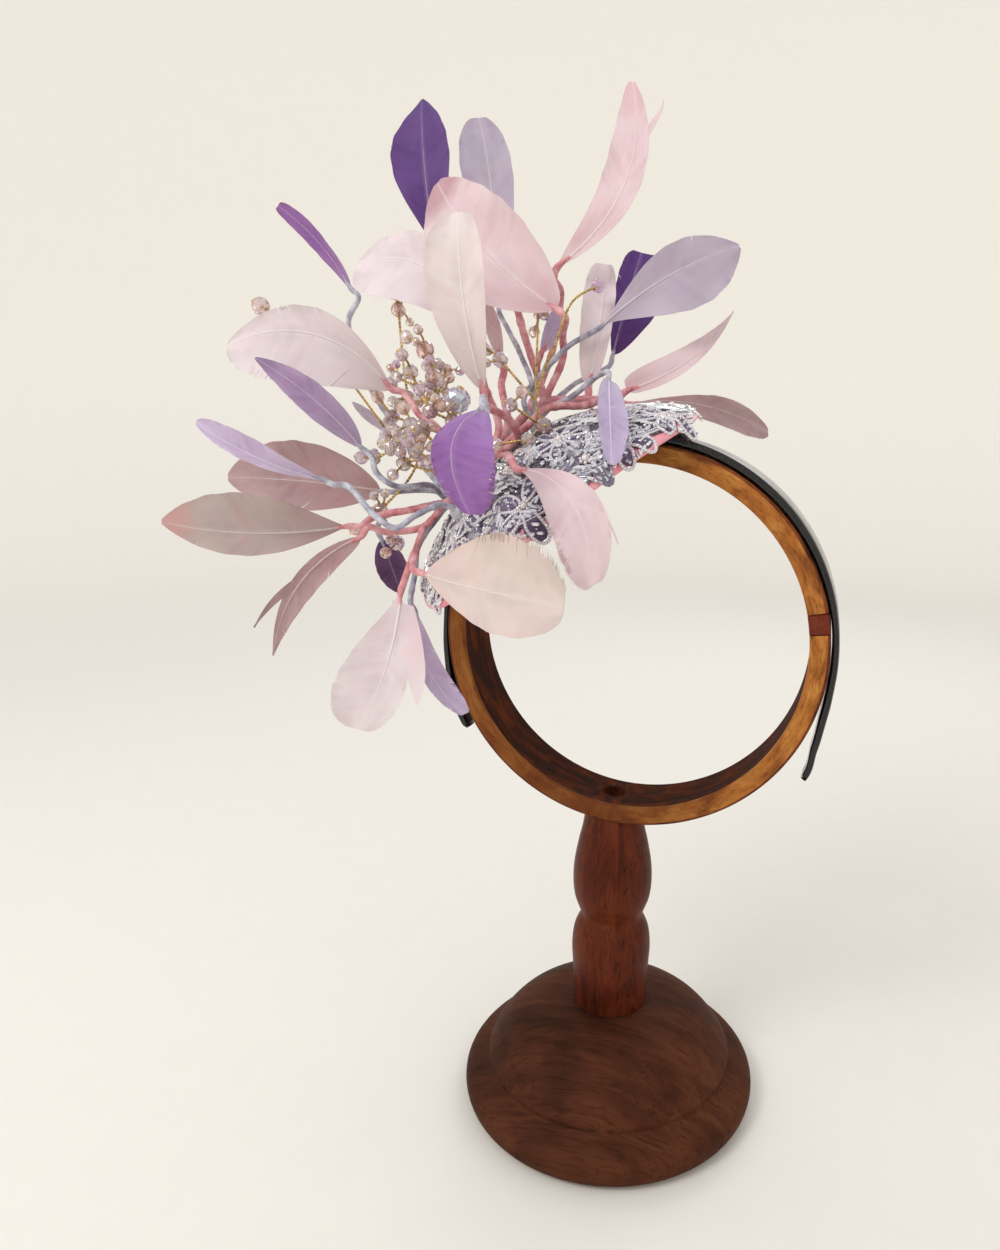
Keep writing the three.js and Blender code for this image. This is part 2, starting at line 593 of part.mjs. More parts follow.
function bandSection(i, share) {
  const at = (key) => between(BAND_SECTIONS, i, share, key);
  const angle = BAND_SECTIONS[i].angle + (BAND_SECTIONS[i + 1].angle - BAND_SECTIONS[i].angle) * share;
  const radians = THREE.MathUtils.degToRad(angle);
  const bevel = BAND_BEVEL * at('thick');
  const inner = at('inner');
  const outer = inner + at('thick');
  const front = at('middle') - at('half');
  const back = at('middle') + at('half');
  return [
    roundRing(inner, radians, front + bevel),
    roundRing(inner + bevel, radians, front),
    roundRing(outer, radians, front + bevel),
    roundRing(outer, radians, back - bevel),
    roundRing(inner + bevel, radians, back),
    roundRing(inner, radians, back - bevel),
  ];
}

function headband() {
  const rows = [];
  for (let i = 0; i + 1 < BAND_SECTIONS.length; i += 1) {
    const steps = Math.ceil((BAND_SECTIONS[i + 1].angle - BAND_SECTIONS[i].angle) / BAND_STEP);
    for (let k = 0; k < steps; k += 1) {
      rows.push(bandSection(i, k / steps));
    }
  }
  rows.push(bandSection(BAND_SECTIONS.length - 2, 1));
  return tubeThrough(rows);
}

// Thread over the band's outside and both its edges, clear of the ring below
function bandBinding() {
  const wide = BINDING_HALF + BINDING_THICK;
  const slack = 0.1 * (BINDING_TO - BINDING_FROM);
  const outer = BINDING_OUTER + BINDING_THICK;
  const inner = BINDING_INNER - BINDING_THICK;
  const block = ringBlock(BINDING_INNER, outer, wide, -wide, BINDING_FROM, BINDING_TO, 4);
  const room = ringBlock(inner, BINDING_OUTER, BINDING_HALF, -BINDING_HALF,
    BINDING_FROM - slack, BINDING_TO + slack, 6);
  return geometryOf(solidOf(block).subtract(solidOf(room)));
}

// Base

const BASE_AXES = (() => {
  const outward = new THREE.Vector3(Math.cos(BASE_BEARING), 0, Math.sin(BASE_BEARING));
  const along = new THREE.Vector3(Math.sin(BASE_BEARING), 0, -Math.cos(BASE_BEARING));
  const forward = new THREE.Vector3(0, -1, 0);
  const centre = outward.clone().multiplyScalar(BASE_REACH).addScaledVector(forward, BASE_FORWARD)
    .add(RING_CENTRE);
  const up = outward.clone().multiplyScalar(Math.cos(BASE_TIP)).addScaledVector(forward, Math.sin(BASE_TIP));
  const across = forward.clone().multiplyScalar(Math.cos(BASE_TIP))
    .addScaledVector(outward, -Math.sin(BASE_TIP));
  return {
    centre,
    up,
    length: along.clone().multiplyScalar(Math.cos(BASE_TURN)).addScaledVector(across, Math.sin(BASE_TURN)),
    width: across.clone().multiplyScalar(Math.cos(BASE_TURN)).addScaledVector(along, -Math.sin(BASE_TURN)),
  };
})();

// The point over the base's dome at a place along it, across it and above its satin
function overBase(along, across, rise) {
  const drop = (along ** 2 + across ** 2) / (2 * BASE_DOME_RADIUS);
  return BASE_AXES.centre.clone()
    .addScaledVector(BASE_AXES.length, along)
    .addScaledVector(BASE_AXES.width, across)
    .addScaledVector(BASE_AXES.up, rise - drop);
}

// An oval shell between two heights over the dome, whose rim may be scalloped. The rings of
// points inside the rim are the same for every shell, so that shells lie flat on each other.
function ovalShell({ low, high, inset, scallops = 0, depth = 0 }) {
  const points = [overBase(0, 0, high), overBase(0, 0, low)];
  const triangles = [];
  const rings = SHELL_RINGS.length + 1;
  [high, low].forEach((rise) => {
    for (let i = 0; i < rings; i += 1) {
      for (let j = 0; j < SHELL_SPOKES; j += 1) {
        const angle = (2 * Math.PI * j) / SHELL_SPOKES;
        const lobe = scallops ? depth * (1 - Math.abs(Math.cos((scallops * angle) / 2))) : 0;
        const rim = i + 1 === rings;
        const length = rim ? BASE_HALF_LENGTH - inset - lobe : BASE_HALF_LENGTH * SHELL_RINGS[i];
        const width = rim ? BASE_HALF_WIDTH - inset - lobe : BASE_HALF_WIDTH * SHELL_RINGS[i];
        points.push(overBase(length * Math.cos(angle), width * Math.sin(angle), rise));
      }
    }
  });
  const at = (side, ring, spoke) => 2 + (side * rings + ring) * SHELL_SPOKES + (spoke % SHELL_SPOKES);
  for (let j = 0; j < SHELL_SPOKES; j += 1) {
    triangles.push([0, at(0, 0, j), at(0, 0, j + 1)], [1, at(1, 0, j + 1), at(1, 0, j)]);
    for (let i = 0; i + 1 < rings; i += 1) {
      triangles.push([at(0, i, j), at(0, i + 1, j), at(0, i + 1, j + 1)]);
      triangles.push([at(0, i, j), at(0, i + 1, j + 1), at(0, i, j + 1)]);
      triangles.push([at(1, i, j), at(1, i + 1, j + 1), at(1, i + 1, j)]);
      triangles.push([at(1, i, j), at(1, i, j + 1), at(1, i + 1, j + 1)]);
    }
    const rim = rings - 1;
    triangles.push([at(0, rim, j), at(1, rim, j), at(1, rim, j + 1)]);
    triangles.push([at(0, rim, j), at(1, rim, j + 1), at(0, rim, j + 1)]);
  }
  return closedGeometry(points, triangles);
}

// The room that the base and its lace take up, which stems and wires keep clear of
const BASE_ROOM = solidOf(ovalShell({ low: -ROOM_DEPTH, high: LACE_THICK + 2.5 * GAP, inset: -ROOM_MARGIN }));

// Feathers

// The blade's surface: the point at a share of the quill and a distance right of it
function bladePoint(row, share, right, offset) {
  const root = fromRing(row.root);
  const tip = fromRing(row.tip);
  const along = tip.clone().sub(root).normalize();
  const facing = FRONT.clone().addScaledVector(along, -FRONT.dot(along)).normalize();
  const side = along.clone().cross(facing);
  const arch = 4 * share * (1 - share);
  const turn = THREE.MathUtils.degToRad(row.rootTurn + (row.tipTurn - row.rootTurn) * share);
  const across = side.clone().multiplyScalar(Math.cos(turn)).addScaledVector(facing, Math.sin(turn));
  const normal = facing.clone().multiplyScalar(Math.cos(turn)).addScaledVector(side, -Math.sin(turn));
  const half = right < 0 ? row.left : row.right;
  const cup = (FEATHER_CUP * right ** 2) / half;
  return root.clone().lerp(tip, share)
    .addScaledVector(side, row.bow * arch)
    .addScaledVector(facing, row.lift * arch)
    .addScaledVector(across, right)
    .addScaledVector(normal, cup + offset);
}

// How much of its full half width a blade has at a share of its quill
function fullness({ widen, narrow }, share) {
  const peak = widen / (widen + narrow);
  return (share / peak) ** widen * ((1 - share) / (1 - peak)) ** narrow;
}

function featherBlade(row) {
  const rows = FEATHER_STATIONS.map((share) => {
    const full = fullness(row, share);
    const left = Math.max(row.left * full, QUILL_HALF_WIDTH);
    const right = Math.max(row.right * full, QUILL_HALF_WIDTH);
    const section = [-left, 0, right].map((x) => bladePoint(row, share, x, FEATHER_THICK / 2));
    const back = [right, 0, -left].map((x) => bladePoint(row, share, x, -FEATHER_THICK / 2));
    return section.concat(back);
  });
  return tubeThrough(rows);
}

function featherLock(row, lock) {
  const rows = LOCK_STATIONS.map((place) => {
    const share = lock.from[0] + (lock.to[0] - lock.from[0]) * place;
    const middle = lock.from[1] + (lock.to[1] - lock.from[1]) * place;
    const half = Math.max(lock.half * (1 - place ** 2), LOCK_END);
    const thick = LOCK_THICK / 2;
    return [
      bladePoint(row, share, middle - half, thick),
      bladePoint(row, share, middle + half, thick),
      bladePoint(row, share, middle + half, -thick),
      bladePoint(row, share, middle - half, -thick),
    ];
  });
  return tubeThrough(rows);
}

function feather(row) {
  const locks = LOCKS.filter((lock) => lock.of === row.name);
  if (locks.length === 0) {
    return featherBlade(row);
  }
  return geometryOf(fuse([featherBlade(row), ...locks.map((lock) => featherLock(row, lock))].map(solidOf)));
}

// Stems and bead sprays

// A round wire on a smooth curve through all its points, with a row of section points at each
// of them and at no more than a step between them
function wireAlong(points, radius, step) {
  const path = new THREE.CatmullRomCurve3(points, false, 'centripetal');
  const spans = points.length - 1;
  const middles = [];
  for (let i = 0; i < spans; i += 1) {
    const parts = Math.ceil(points[i].distanceTo(points[i + 1]) / step);
    for (let k = 0; k < parts; k += 1) {
      middles.push(path.getPoint((i + k / parts) / spans));
    }
  }
  middles.push(points[spans]);
  let side = FRONT.clone().cross(middles[1].clone().sub(middles[0]));
  const rows = middles.map((middle, i) => {
    const ahead = middles[Math.min(i + 1, middles.length - 1)].clone().sub(middles[Math.max(i - 1, 0)]);
    ahead.normalize();
    side = side.clone().addScaledVector(ahead, -side.dot(ahead)).normalize();
    const other = ahead.clone().cross(side);
    return Array.from({ length: WIRE_SIDES }, (_, k) => {
      const angle = (2 * Math.PI * k) / WIRE_SIDES;
      return middle.clone()
        .addScaledVector(side, radius * Math.cos(angle))
        .addScaledVector(other, radius * Math.sin(angle));
    });
  });
  return tubeThrough(rows);
}

function seatPoint(seat, rise) {
  return overBase(...SEATS[seat], rise);
}

// The end of a feather's stem: a short straight run up to a gap short of the quill's root
function stemEnd(name) {
  const row = FEATHERS.find((feather) => feather.name === name);
  const root = fromRing(row.root);
  const ahead = fromRing(row.tip).sub(root).normalize();
  return [STEM_RUN, STEM_SHORT].map((back) => root.clone().addScaledVector(ahead, -back));
}

function knob(seat) {
  const middle = seatPoint(seat, KNOB_RISE);
  return new THREE.SphereGeometry(KNOB_RADIUS, BEAD_SIDES, BEAD_ROWS).translate(...middle.toArray());
}

function stemBundle({ seat, radius, stems }) {
  const tubes = stems.map(({ to, via, from }) => {
    const start = from ? [fromRing(from)] : [seatPoint(seat, 0), seatPoint(seat, KNOB_RISE)];
    const points = [...start, ...via.map(fromRing), ...stemEnd(to)];
    return solidOf(wireAlong(points, radius, TAPE_STEP));
  });
  return geometryOf(fuse([solidOf(knob(seat)), ...tubes]).subtract(BASE_ROOM));
}

function beadSpray({ seat, beads }) {
  const solids = [solidOf(knob(seat))];
  beads.forEach(({ at, radius, from, via = [] }) => {
    const centre = fromRing(at);
    const bead = new THREE.SphereGeometry(radius, BEAD_SIDES, BEAD_ROWS).translate(...centre.toArray());
    const start = from ? fromRing(from) : seatPoint(seat, KNOB_RISE);
    const points = [start, ...via.map(fromRing), centre];
    solids.push(solidOf(bead), solidOf(wireAlong(points, WIRE_RADIUS, WIRE_STEP)));
  });
  return geometryOf(fuse(solids).subtract(BASE_ROOM));
}

// Assembly

const group = new THREE.Group();

function add(name, finish, geometry) {
  const mesh = new THREE.Mesh(geometry, new THREE.MeshStandardMaterial(FINISHES[finish]));
  mesh.name = name;
  group.add(mesh);
}

add('stand_foot', 'footWood', standFoot());
add('stand_stem', 'stemWood', standStem());
add('stand_ring', 'ringWood', standRing());
add('ring_key', 'keyWood', ringKey());
add('headband', 'blackBand', headband());
add('band_binding', 'blackThread', bandBinding());
add('base_underlay', 'darkLining', ovalShell({
  low: -PAD_THICK - 2 * GAP - UNDERLAY_THICK,
  high: -PAD_THICK - 2 * GAP,
  inset: UNDERLAY_INSET,
}));
add('base_pad', 'pinkSatin', ovalShell({ low: -PAD_THICK, high: 0, inset: 0 }));
add('lace_cover', 'silverLace', ovalShell({
  low: GAP,
  high: GAP + LACE_THICK,
  inset: LACE_INSET,
  scallops: LACE_SCALLOPS,
  depth: LACE_SCALLOP_DEPTH,
}));
FEATHERS.forEach((row) => add(row.name, row.colour, feather(row)));
STEM_BUNDLES.forEach((bundle) => add(bundle.name, bundle.colour, stemBundle(bundle)));
BEAD_SPRAYS.forEach((spray) => add(spray.name, 'beadsAndWire', beadSpray(spray)));

export default group;
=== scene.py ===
"""A feather fascinator on its headband, worn on a turned wooden ring stand.

Sizes in the classes and tables are millimetres. Places in the ring, headband and spray are
measured from the ring's centre, and a mesh is put in metres when it is made. The front is -Y.
"""

import logging
from dataclasses import dataclass, field
from enum import Enum
from typing import Protocol, Sequence

import bpy
import numpy as np
from mathutils import Matrix


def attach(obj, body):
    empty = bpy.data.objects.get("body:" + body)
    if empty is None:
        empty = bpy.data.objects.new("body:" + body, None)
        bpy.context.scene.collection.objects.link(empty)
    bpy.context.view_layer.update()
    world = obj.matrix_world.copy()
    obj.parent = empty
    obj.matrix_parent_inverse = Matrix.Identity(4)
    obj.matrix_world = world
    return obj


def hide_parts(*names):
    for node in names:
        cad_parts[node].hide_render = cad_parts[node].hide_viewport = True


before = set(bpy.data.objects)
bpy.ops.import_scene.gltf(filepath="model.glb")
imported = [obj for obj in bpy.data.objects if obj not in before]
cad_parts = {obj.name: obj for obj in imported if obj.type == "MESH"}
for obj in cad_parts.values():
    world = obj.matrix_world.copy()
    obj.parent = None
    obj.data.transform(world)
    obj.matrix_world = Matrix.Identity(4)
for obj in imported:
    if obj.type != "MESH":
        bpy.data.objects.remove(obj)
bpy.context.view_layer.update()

LOG = logging.getLogger("fascinator")
MM = 0.001
RING_CENTRE = np.array([7.0, 0.0, 203.0])
FRONT = np.array([0.36, -0.93, 0.06]) / np.linalg.norm([0.36, -0.93, 0.06])
Array = np.ndarray
Colour = tuple[float, float, float]
Point = tuple[float, float, float]
Material = bpy.types.Material
Piece = bpy.types.Object
Socket = bpy.types.NodeSocket


# Arrays and meshes


def unit(vectors: Array) -> Array:
    """Vectors scaled to length 1 along their last axis."""
    length = np.linalg.norm(vectors, axis=-1, keepdims=True)
    return vectors / np.maximum(length, 1e-9)


def smooth_step(values: Array, low: float, high: float) -> Array:
    """0 below low, 1 above high, and 3t^2 - 2t^3 between them."""
    t = np.clip((values - low) / (high - low), 0, 1)
    return t * t * (3 - 2 * t)


def scaled(values: Sequence[float], share: float) -> tuple[float, ...]:
    """The numbers of a colour or a place, each times a share."""
    return tuple(share * x for x in values)


def steps_round(count: int) -> Array:
    """The angles of equal steps once round."""
    return 2 * np.pi * np.arange(count) / count


def round_centre(radius: Array, depth: Array, turn: Array) -> Array:
    """Places at a radius and a turn from the ring's centre, and a depth back."""
    return np.stack([radius * np.cos(turn), depth, radius * np.sin(turn)], axis=-1) + RING_CENTRE


def linear(colour: Colour) -> tuple[float, float, float, float]:
    """A screen colour as a linear one with alpha 1: ((x + 0.055) / 1.055)^2.4, or x / 12.92 if dark."""
    shares = np.asarray(colour, float)
    high = ((shares + 0.055) / 1.055) ** 2.4
    return (*np.where(shares <= 0.04045, shares / 12.92, high).tolist(), 1.0)


def smooth_path(points: Sequence[Sequence[float]], step: float) -> Array:
    """Points about a step apart on a centripetal Catmull-Rom curve through the given points.

    Args:
        points: the places that the curve passes, at least two.
        step: the distance between the points that come back.

    Returns:
        An array of shape (n, 3), evenly spaced along the curve.
    """
    p = np.asarray(points, float)
    p = np.vstack([2 * p[0] - p[1], p, 2 * p[-1] - p[-2]])
    knots = np.concatenate([[0], np.cumsum(np.sqrt(np.linalg.norm(np.diff(p, axis=0), axis=1)))])
    pieces = []
    for i in range(1, len(p) - 2):
        t = np.linspace(knots[i], knots[i + 1], 24, endpoint=False)[:, None]
        k0, k1, k2, k3 = knots[i - 1:i + 3]
        a1 = (k1 - t) / (k1 - k0) * p[i - 1] + (t - k0) / (k1 - k0) * p[i]
        a2 = (k2 - t) / (k2 - k1) * p[i] + (t - k1) / (k2 - k1) * p[i + 1]
        a3 = (k3 - t) / (k3 - k2) * p[i + 1] + (t - k2) / (k3 - k2) * p[i + 2]
        b1 = (k2 - t) / (k2 - k0) * a1 + (t - k0) / (k2 - k0) * a2
        b2 = (k3 - t) / (k3 - k1) * a2 + (t - k1) / (k3 - k1) * a3
        pieces.append((k2 - t) / (k2 - k1) * b1 + (t - k1) / (k2 - k1) * b2)
    dense = np.vstack([*pieces, p[-2:-1]])
    run = np.concatenate([[0], np.cumsum(np.linalg.norm(np.diff(dense, axis=0), axis=1))])
    count = max(2, int(round(run[-1] / step)) + 1)
    places = np.linspace(0, run[-1], count)
    return np.stack([np.interp(places, run, dense[:, axis]) for axis in range(3)], axis=1)


def path_frames(path: Array) -> tuple[Array, Array, Array]:
    """The direction ahead and two cross directions at each point of a path.

    The cross directions are carried along with the least turn: each is the one before it with
    its part along the path taken off.

    Args:
        path: points of shape (n, 3).

    Returns:
        The directions ahead, to the side and across both, each of shape (n, 3).
    """
    ahead = unit(np.gradient(path, axis=0))
    sides = [unit(np.cross(ahead[0], [0.31, 0.17, 0.94]))]
    for direction in ahead[1:]:
        last = sides[-1]
        sides.append(unit(last - direction * np.dot(last, direction)))
    side = np.array(sides)
    return ahead, side, np.cross(ahead, side)


def grid_faces(rows: int, cols: int, wrap: bool = False) -> Array:
    """Quads of a grid of points held row by row, joined to the first column if it wraps."""
    r, c = np.meshgrid(np.arange(rows - 1), np.arange(cols if wrap else cols - 1), indexing="ij")
    after = (c + 1) % cols
    return np.stack([r * cols + c, r * cols + after, (r + 1) * cols + after, (r + 1) * cols + c],
                    axis=-1).reshape(-1, 4)


def wrapped_uv(rows: int, cols: int, tall: float = 1.0) -> Array:
    """Corner UVs of a wrapped grid: u is 0 to 1 over its columns and v 0 to tall over its rows."""
    r, c = np.meshgrid(np.arange(rows - 1), np.arange(cols), indexing="ij")
    corner = [(r, c), (r, c + 1), (r + 1, c + 1), (r + 1, c)]
    return np.stack([np.stack([b / cols, a * tall / (rows - 1)], axis=-1) for a, b in corner],
                    axis=2).reshape(-1, 4, 2)


class Finish(Protocol):
    """A finish: a frozen set of values that makes one material."""

    def material(self) -> Material:
        """The finish as a node material."""


@dataclass
class MeshStack:
    """Closed surfaces that are gathered into one Blender object."""

    name: str
    seed: int = 0
    points: list[Array] = field(default_factory=list)
    faces: list[Array] = field(default_factory=list)
    uvs: list[Array] = field(default_factory=list)
    slots: list[Array] = field(default_factory=list)
    flats: list[Array] = field(default_factory=list)
    count: int = 0

    def __post_init__(self) -> None:
        """Starts the piece's own random draws."""
        self.rng = np.random.default_rng(self.seed)
    def add(self, points: Array, groups: Sequence[tuple[Array, Array | None]], slot: int | Array = 0,
            flat: bool = False) -> None:
        """Adds one closed surface, turned so that its faces point out.

        The volume inside is a sixth of the sum of each triangle's triple product, and where it
        comes out below zero the faces are read the other way round.

        Args:
            points: places in millimetres, of shape (..., 3).
            groups: rows of 3 or 4 numbers into points, each with a UV pair for every corner.
            slot: the number of its material, or one number for each face of the first group.
            flat: True for facets, False for smooth shading.
        """
        points = np.asarray(points, float).reshape(-1, 3)
        centred = points - points.mean(axis=0)
        volume = 0.0
        for faces, _ in groups:
            corner = centred[faces]
            for k in range(1, faces.shape[1] - 1):
                volume += np.einsum("ij,ij->", corner[:, 0], np.cross(corner[:, k], corner[:, k + 1]))
        for faces, uv in groups:
            uv = np.zeros((*faces.shape, 2)) if uv is None else uv
            if volume < 0:
                faces, uv = faces[:, ::-1], uv[:, ::-1]
            self.faces.append(faces + self.count)
            self.uvs.append(uv)
            same = slot if np.ndim(slot) == 0 else (slot if len(slot) == len(faces) else slot[0])
            self.slots.append(np.broadcast_to(same, len(faces)))
            self.flats.append(np.full(len(faces), flat))
        self.points.append(points)
        self.count += len(points)

    def tube(self, path: Array, radius: Array | float, sides: int, slot: int = 0,
             pitch: float = 1.0) -> None:
        """Adds a closed tube along a path.

        The surface is path + radius (side cos a + other sin a), where a goes once round in equal
        steps. Its UVs have the turn in u and the length over the pitch in v.

        Args:
            path: points of shape (n, 3).
            radius: one number, n numbers, or an array of shape (n, sides).
            sides: how many points go round.
            slot: the number of its material.
            pitch: the length that v counts.
        """
        _, side, other = path_frames(path)
        angle = steps_round(sides)
        reach = np.asarray(radius, float)
        if reach.ndim < 2:
            reach = np.broadcast_to(reach.reshape(-1, 1), (len(path), sides))
        ring = side[:, None] * np.cos(angle)[:, None] + other[:, None] * np.sin(angle)[:, None]
        length = np.linalg.norm(np.diff(path, axis=0), axis=1).sum()
        self.closed_grid(path[:, None] + ring * reach[..., None], path[0], path[-1], slot, length / pitch)

    def closed_grid(self, body: Array, start: Array | None = None, end: Array | None = None,
                    slot: int = 0, tall: float = 1.0) -> None:
        """Adds a grid that wraps in its columns, closed by a point before and after its rows.

        Args:
            body: the grid's points, of shape (rows, cols, 3).
            start: the point before the rows, or none for the first row's middle.
            end: the point after the rows, or none for the last row's middle.
            slot: the number of its material.
            tall: what v reaches over the rows.
        """
        rows, cols = body.shape[:2]
        start = body[0].mean(axis=0) if start is None else start
        end = body[-1].mean(axis=0) if end is None else end
        near = np.arange(cols)
        after = (near + 1) % cols
        last = (rows - 1) * cols
        caps = np.vstack([
            np.stack([np.full(cols, rows * cols), after, near], axis=1),
            np.stack([np.full(cols, rows * cols + 1), last + near, last + after], axis=1)])
        self.add(np.vstack([body.reshape(-1, 3), start, end]),
                 [(grid_faces(rows, cols, True), wrapped_uv(rows, cols, tall)), (caps, None)], slot)

    def closed_ring(self, body: Array, slot: Array, tall: float) -> None:
        """Adds a grid that wraps both ways, with a material number for each face and UVs to tall."""
        rows, cols = body.shape[:2]
        faces = grid_faces(rows + 1, cols, True) % (rows * cols)
        self.add(body, [(faces, wrapped_uv(rows + 1, cols, tall))], slot)

    def slab(self, front: Array, back: Array, slot: int = 0, uv: Array | None = None) -> None:
        """Adds a thin solid between two grids of the same shape, joined round their rim.

        Args:
            front: the points of one face, of shape (rows, cols, 3).
            back: the points of the other face, in the same order.
            slot: the number of its material.
            uv: a pair for each point, of shape (rows, cols, 2), or none for 0 to 1 both ways.
        """
        rows, cols = front.shape[:2]
        if uv is None:
            across, along = np.meshgrid(np.linspace(0, 1, cols), np.linspace(0, 1, rows))
            uv = np.stack([across, along], axis=-1)
        faces = grid_faces(rows, cols)
        size = rows * cols
        index = np.arange(size).reshape(rows, cols)
        rim = np.concatenate([index[0, :-1], index[:-1, -1], index[-1, :0:-1], index[:0:-1, 0]])
        after = np.roll(rim, -1)
        spot = np.tile(uv.reshape(-1, 2), (2, 1))
        quads = np.vstack([faces, faces[:, ::-1] + size,
                           np.stack([rim, rim + size, after + size, after], axis=1)])
        points = np.concatenate([front.reshape(-1, 3), back.reshape(-1, 3)])
        self.add(points, [(quads, spot[quads])], slot)

    def hairs(self, paths: Array, radius: Array, uv: Array) -> None:
        """Adds many thin three-sided strands at once, each closed at both ends.

        Args:
            paths: the points of each strand, of shape (strands, points, 3).
            radius: the radius at each point, of shape (strands, points).
            uv: one UV pair for each strand, of shape (strands, 2).
        """
        strands, rows = paths.shape[:2]
        ahead = unit(np.gradient(paths, axis=1))
        side = unit(np.cross(ahead, np.array([0.23, 0.41, 0.88])))
        other = np.cross(ahead, side)
        angle = steps_round(3)
        ring = side[:, :, None] * np.cos(angle)[:, None] + other[:, :, None] * np.sin(angle)[:, None]
        body = paths[:, :, None] + ring * radius[:, :, None, None]
        first = 3 * rows * np.arange(strands)[:, None, None]
        walls = (grid_faces(rows, 3, True)[None] + first).reshape(-1, 4)
        ends = np.array([[2, 1, 0], [3 * rows - 3, 3 * rows - 2, 3 * rows - 1]])
        caps = (ends[None] + first).reshape(-1, 3)
        wall_uv = np.repeat(uv, 3 * (rows - 1), axis=0)[:, None].repeat(4, axis=1)
        cap_uv = np.repeat(uv, 2, axis=0)[:, None].repeat(3, axis=1)
        self.add(body, [(walls, wall_uv), (caps, cap_uv)])

    def copies(self, shape: tuple[Array, Array], places: Array, axes: Array, sizes: Array,
               slot: int | Array = 0, flat: bool = False) -> None:
        """Adds one small shape many times: each point is place + sizes times the shape on axes.

        Args:
            shape: the small shape's points (n, 3) and faces.
            places: where each copy stands, of shape (copies, 3).
            axes: three rows of directions for each copy, of shape (copies, 3, 3).
            sizes: three scales for each copy, of shape (copies, 3).
            slot: the number of the material, or one number for each copy.
            flat: True for facets.
        """
        points, faces = shape
        grown = np.einsum("cij,pi,ci->cpj", axes, points, sizes) + places[:, None]
        first = len(points) * np.arange(len(places))[:, None, None]
        each = (faces[None] + first).reshape(-1, faces.shape[1])
        slots = np.repeat(slot, len(faces)) if np.ndim(slot) else slot
        self.add(grown, [(each, None)], slots, flat)

    def deliver(self, slot: str, node: str, finishes: Sequence[Finish], crease: float | None) -> Piece:
        """Makes the object in metres, lets it ride on the part's one body, and reports it.

        Args:
            slot: the record's material slot; not used.
            node: the CAD node that it stands for.
            finishes: its finishes, in the order of the surfaces' numbers.
            crease: the angle in degrees past which an edge is sharp, or none for no such edge.

        Returns:
            The object, at the origin, with its materials and UV map.
        """
        loops = [rows.reshape(-1) for rows in self.faces]
        counts = np.concatenate([np.full(len(rows), rows.shape[1]) for rows in self.faces])
        mesh = bpy.data.meshes.new(self.name)
        points = np.vstack(self.points) * MM
        corners = np.concatenate(loops)
        mesh.vertices.add(len(points))
        mesh.vertices.foreach_set("co", points.ravel())
        mesh.loops.add(len(corners))
        mesh.loops.foreach_set("vertex_index", corners.astype(np.int32))
        mesh.polygons.add(len(counts))
        mesh.polygons.foreach_set("loop_start",
                                  np.concatenate([[0], np.cumsum(counts)[:-1]]).astype(np.int32))
        mesh.update(calc_edges=True)
        mesh.polygons.foreach_set("material_index", np.concatenate(self.slots).astype(np.int32))
        mesh.polygons.foreach_set("use_smooth", ~np.concatenate(self.flats))
        layer = mesh.uv_layers.new(name="UVMap")
        layer.data.foreach_set("uv", np.concatenate([rows.reshape(-1) for rows in self.uvs]))
        for finish in finishes:
            mesh.materials.append(dressed(finish))
        mesh.update()
        if crease is not None:
            mesh.set_sharp_from_angle(angle=np.radians(crease))
        piece = bpy.data.objects.new(self.name, mesh)
        bpy.context.scene.collection.objects.link(piece)
        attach(piece, "root")
        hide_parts(node)
        LOG.info("%s: %d faces, for %s", piece.name, len(counts), node)
        return piece


def small_ball(sides: int, rows: int) -> tuple[Array, Array]:
    """A ball of radius 1 in triangles: rings of points, every other one turned by half a step.

    Args:
        sides: how many points a ring has.
        rows: how many bands the ball has from pole to pole.

    Returns:
        Its points and its faces.
    """
    rise = np.linspace(-np.pi / 2, np.pi / 2, rows + 1)[1:-1]
    angle = 2 * np.pi * (np.arange(sides)[None, :] + 0.5 * (np.arange(len(rise)) % 2)[:, None]) / sides
    ring = np.stack([np.cos(rise)[:, None] * np.cos(angle), np.cos(rise)[:, None] * np.sin(angle),
                     np.broadcast_to(np.sin(rise)[:, None], angle.shape)], axis=-1).reshape(-1, 3)
    near = np.arange(sides)
    after = (near + 1) % sides
    faces = [np.stack([np.full(sides, len(ring)), after, near], axis=1)]
    for k in range(len(rise) - 1):
        low, high = k * sides, (k + 1) * sides
        shift, below = (near, after) if k % 2 == 0 else (after, near)
        faces.append(np.stack([low + near, low + after, high + shift], axis=1))
        faces.append(np.stack([low + below, high + after, high + near], axis=1))
    last = (len(rise) - 1) * sides
    faces.append(np.stack([np.full(sides, len(ring) + 1), last + near, last + after], axis=1))
    return np.vstack([ring, [0, 0, -1], [0, 0, 1]]), np.vstack(faces)


def small_tube(sides: int, bevel: float) -> tuple[Array, Array]:
    """A short rod of radius 1 from -1 to 1 along its first axis, in quads.

    Args:
        sides: how many points go round, an even number.
        bevel: how much smaller its ends are.

    Returns:
        Its points and its faces.
    """
    angle = steps_round(sides)
    rows = [(-1, 1 - bevel), (-1 + 0.4 * bevel, 1), (1 - 0.4 * bevel, 1), (1, 1 - bevel)]
    points = np.concatenate([np.stack([np.full(sides, x), r * np.cos(angle), r * np.sin(angle)], axis=1)
                             for x, r in rows])
    half = np.arange(0, sides - 2, 2)
    end = np.stack([np.zeros_like(half), half + 1, half + 2, (half + 3) % sides], axis=1)
    return points, np.vstack([grid_faces(4, sides, True), end[:, ::-1], end + 3 * sides])


# Materials


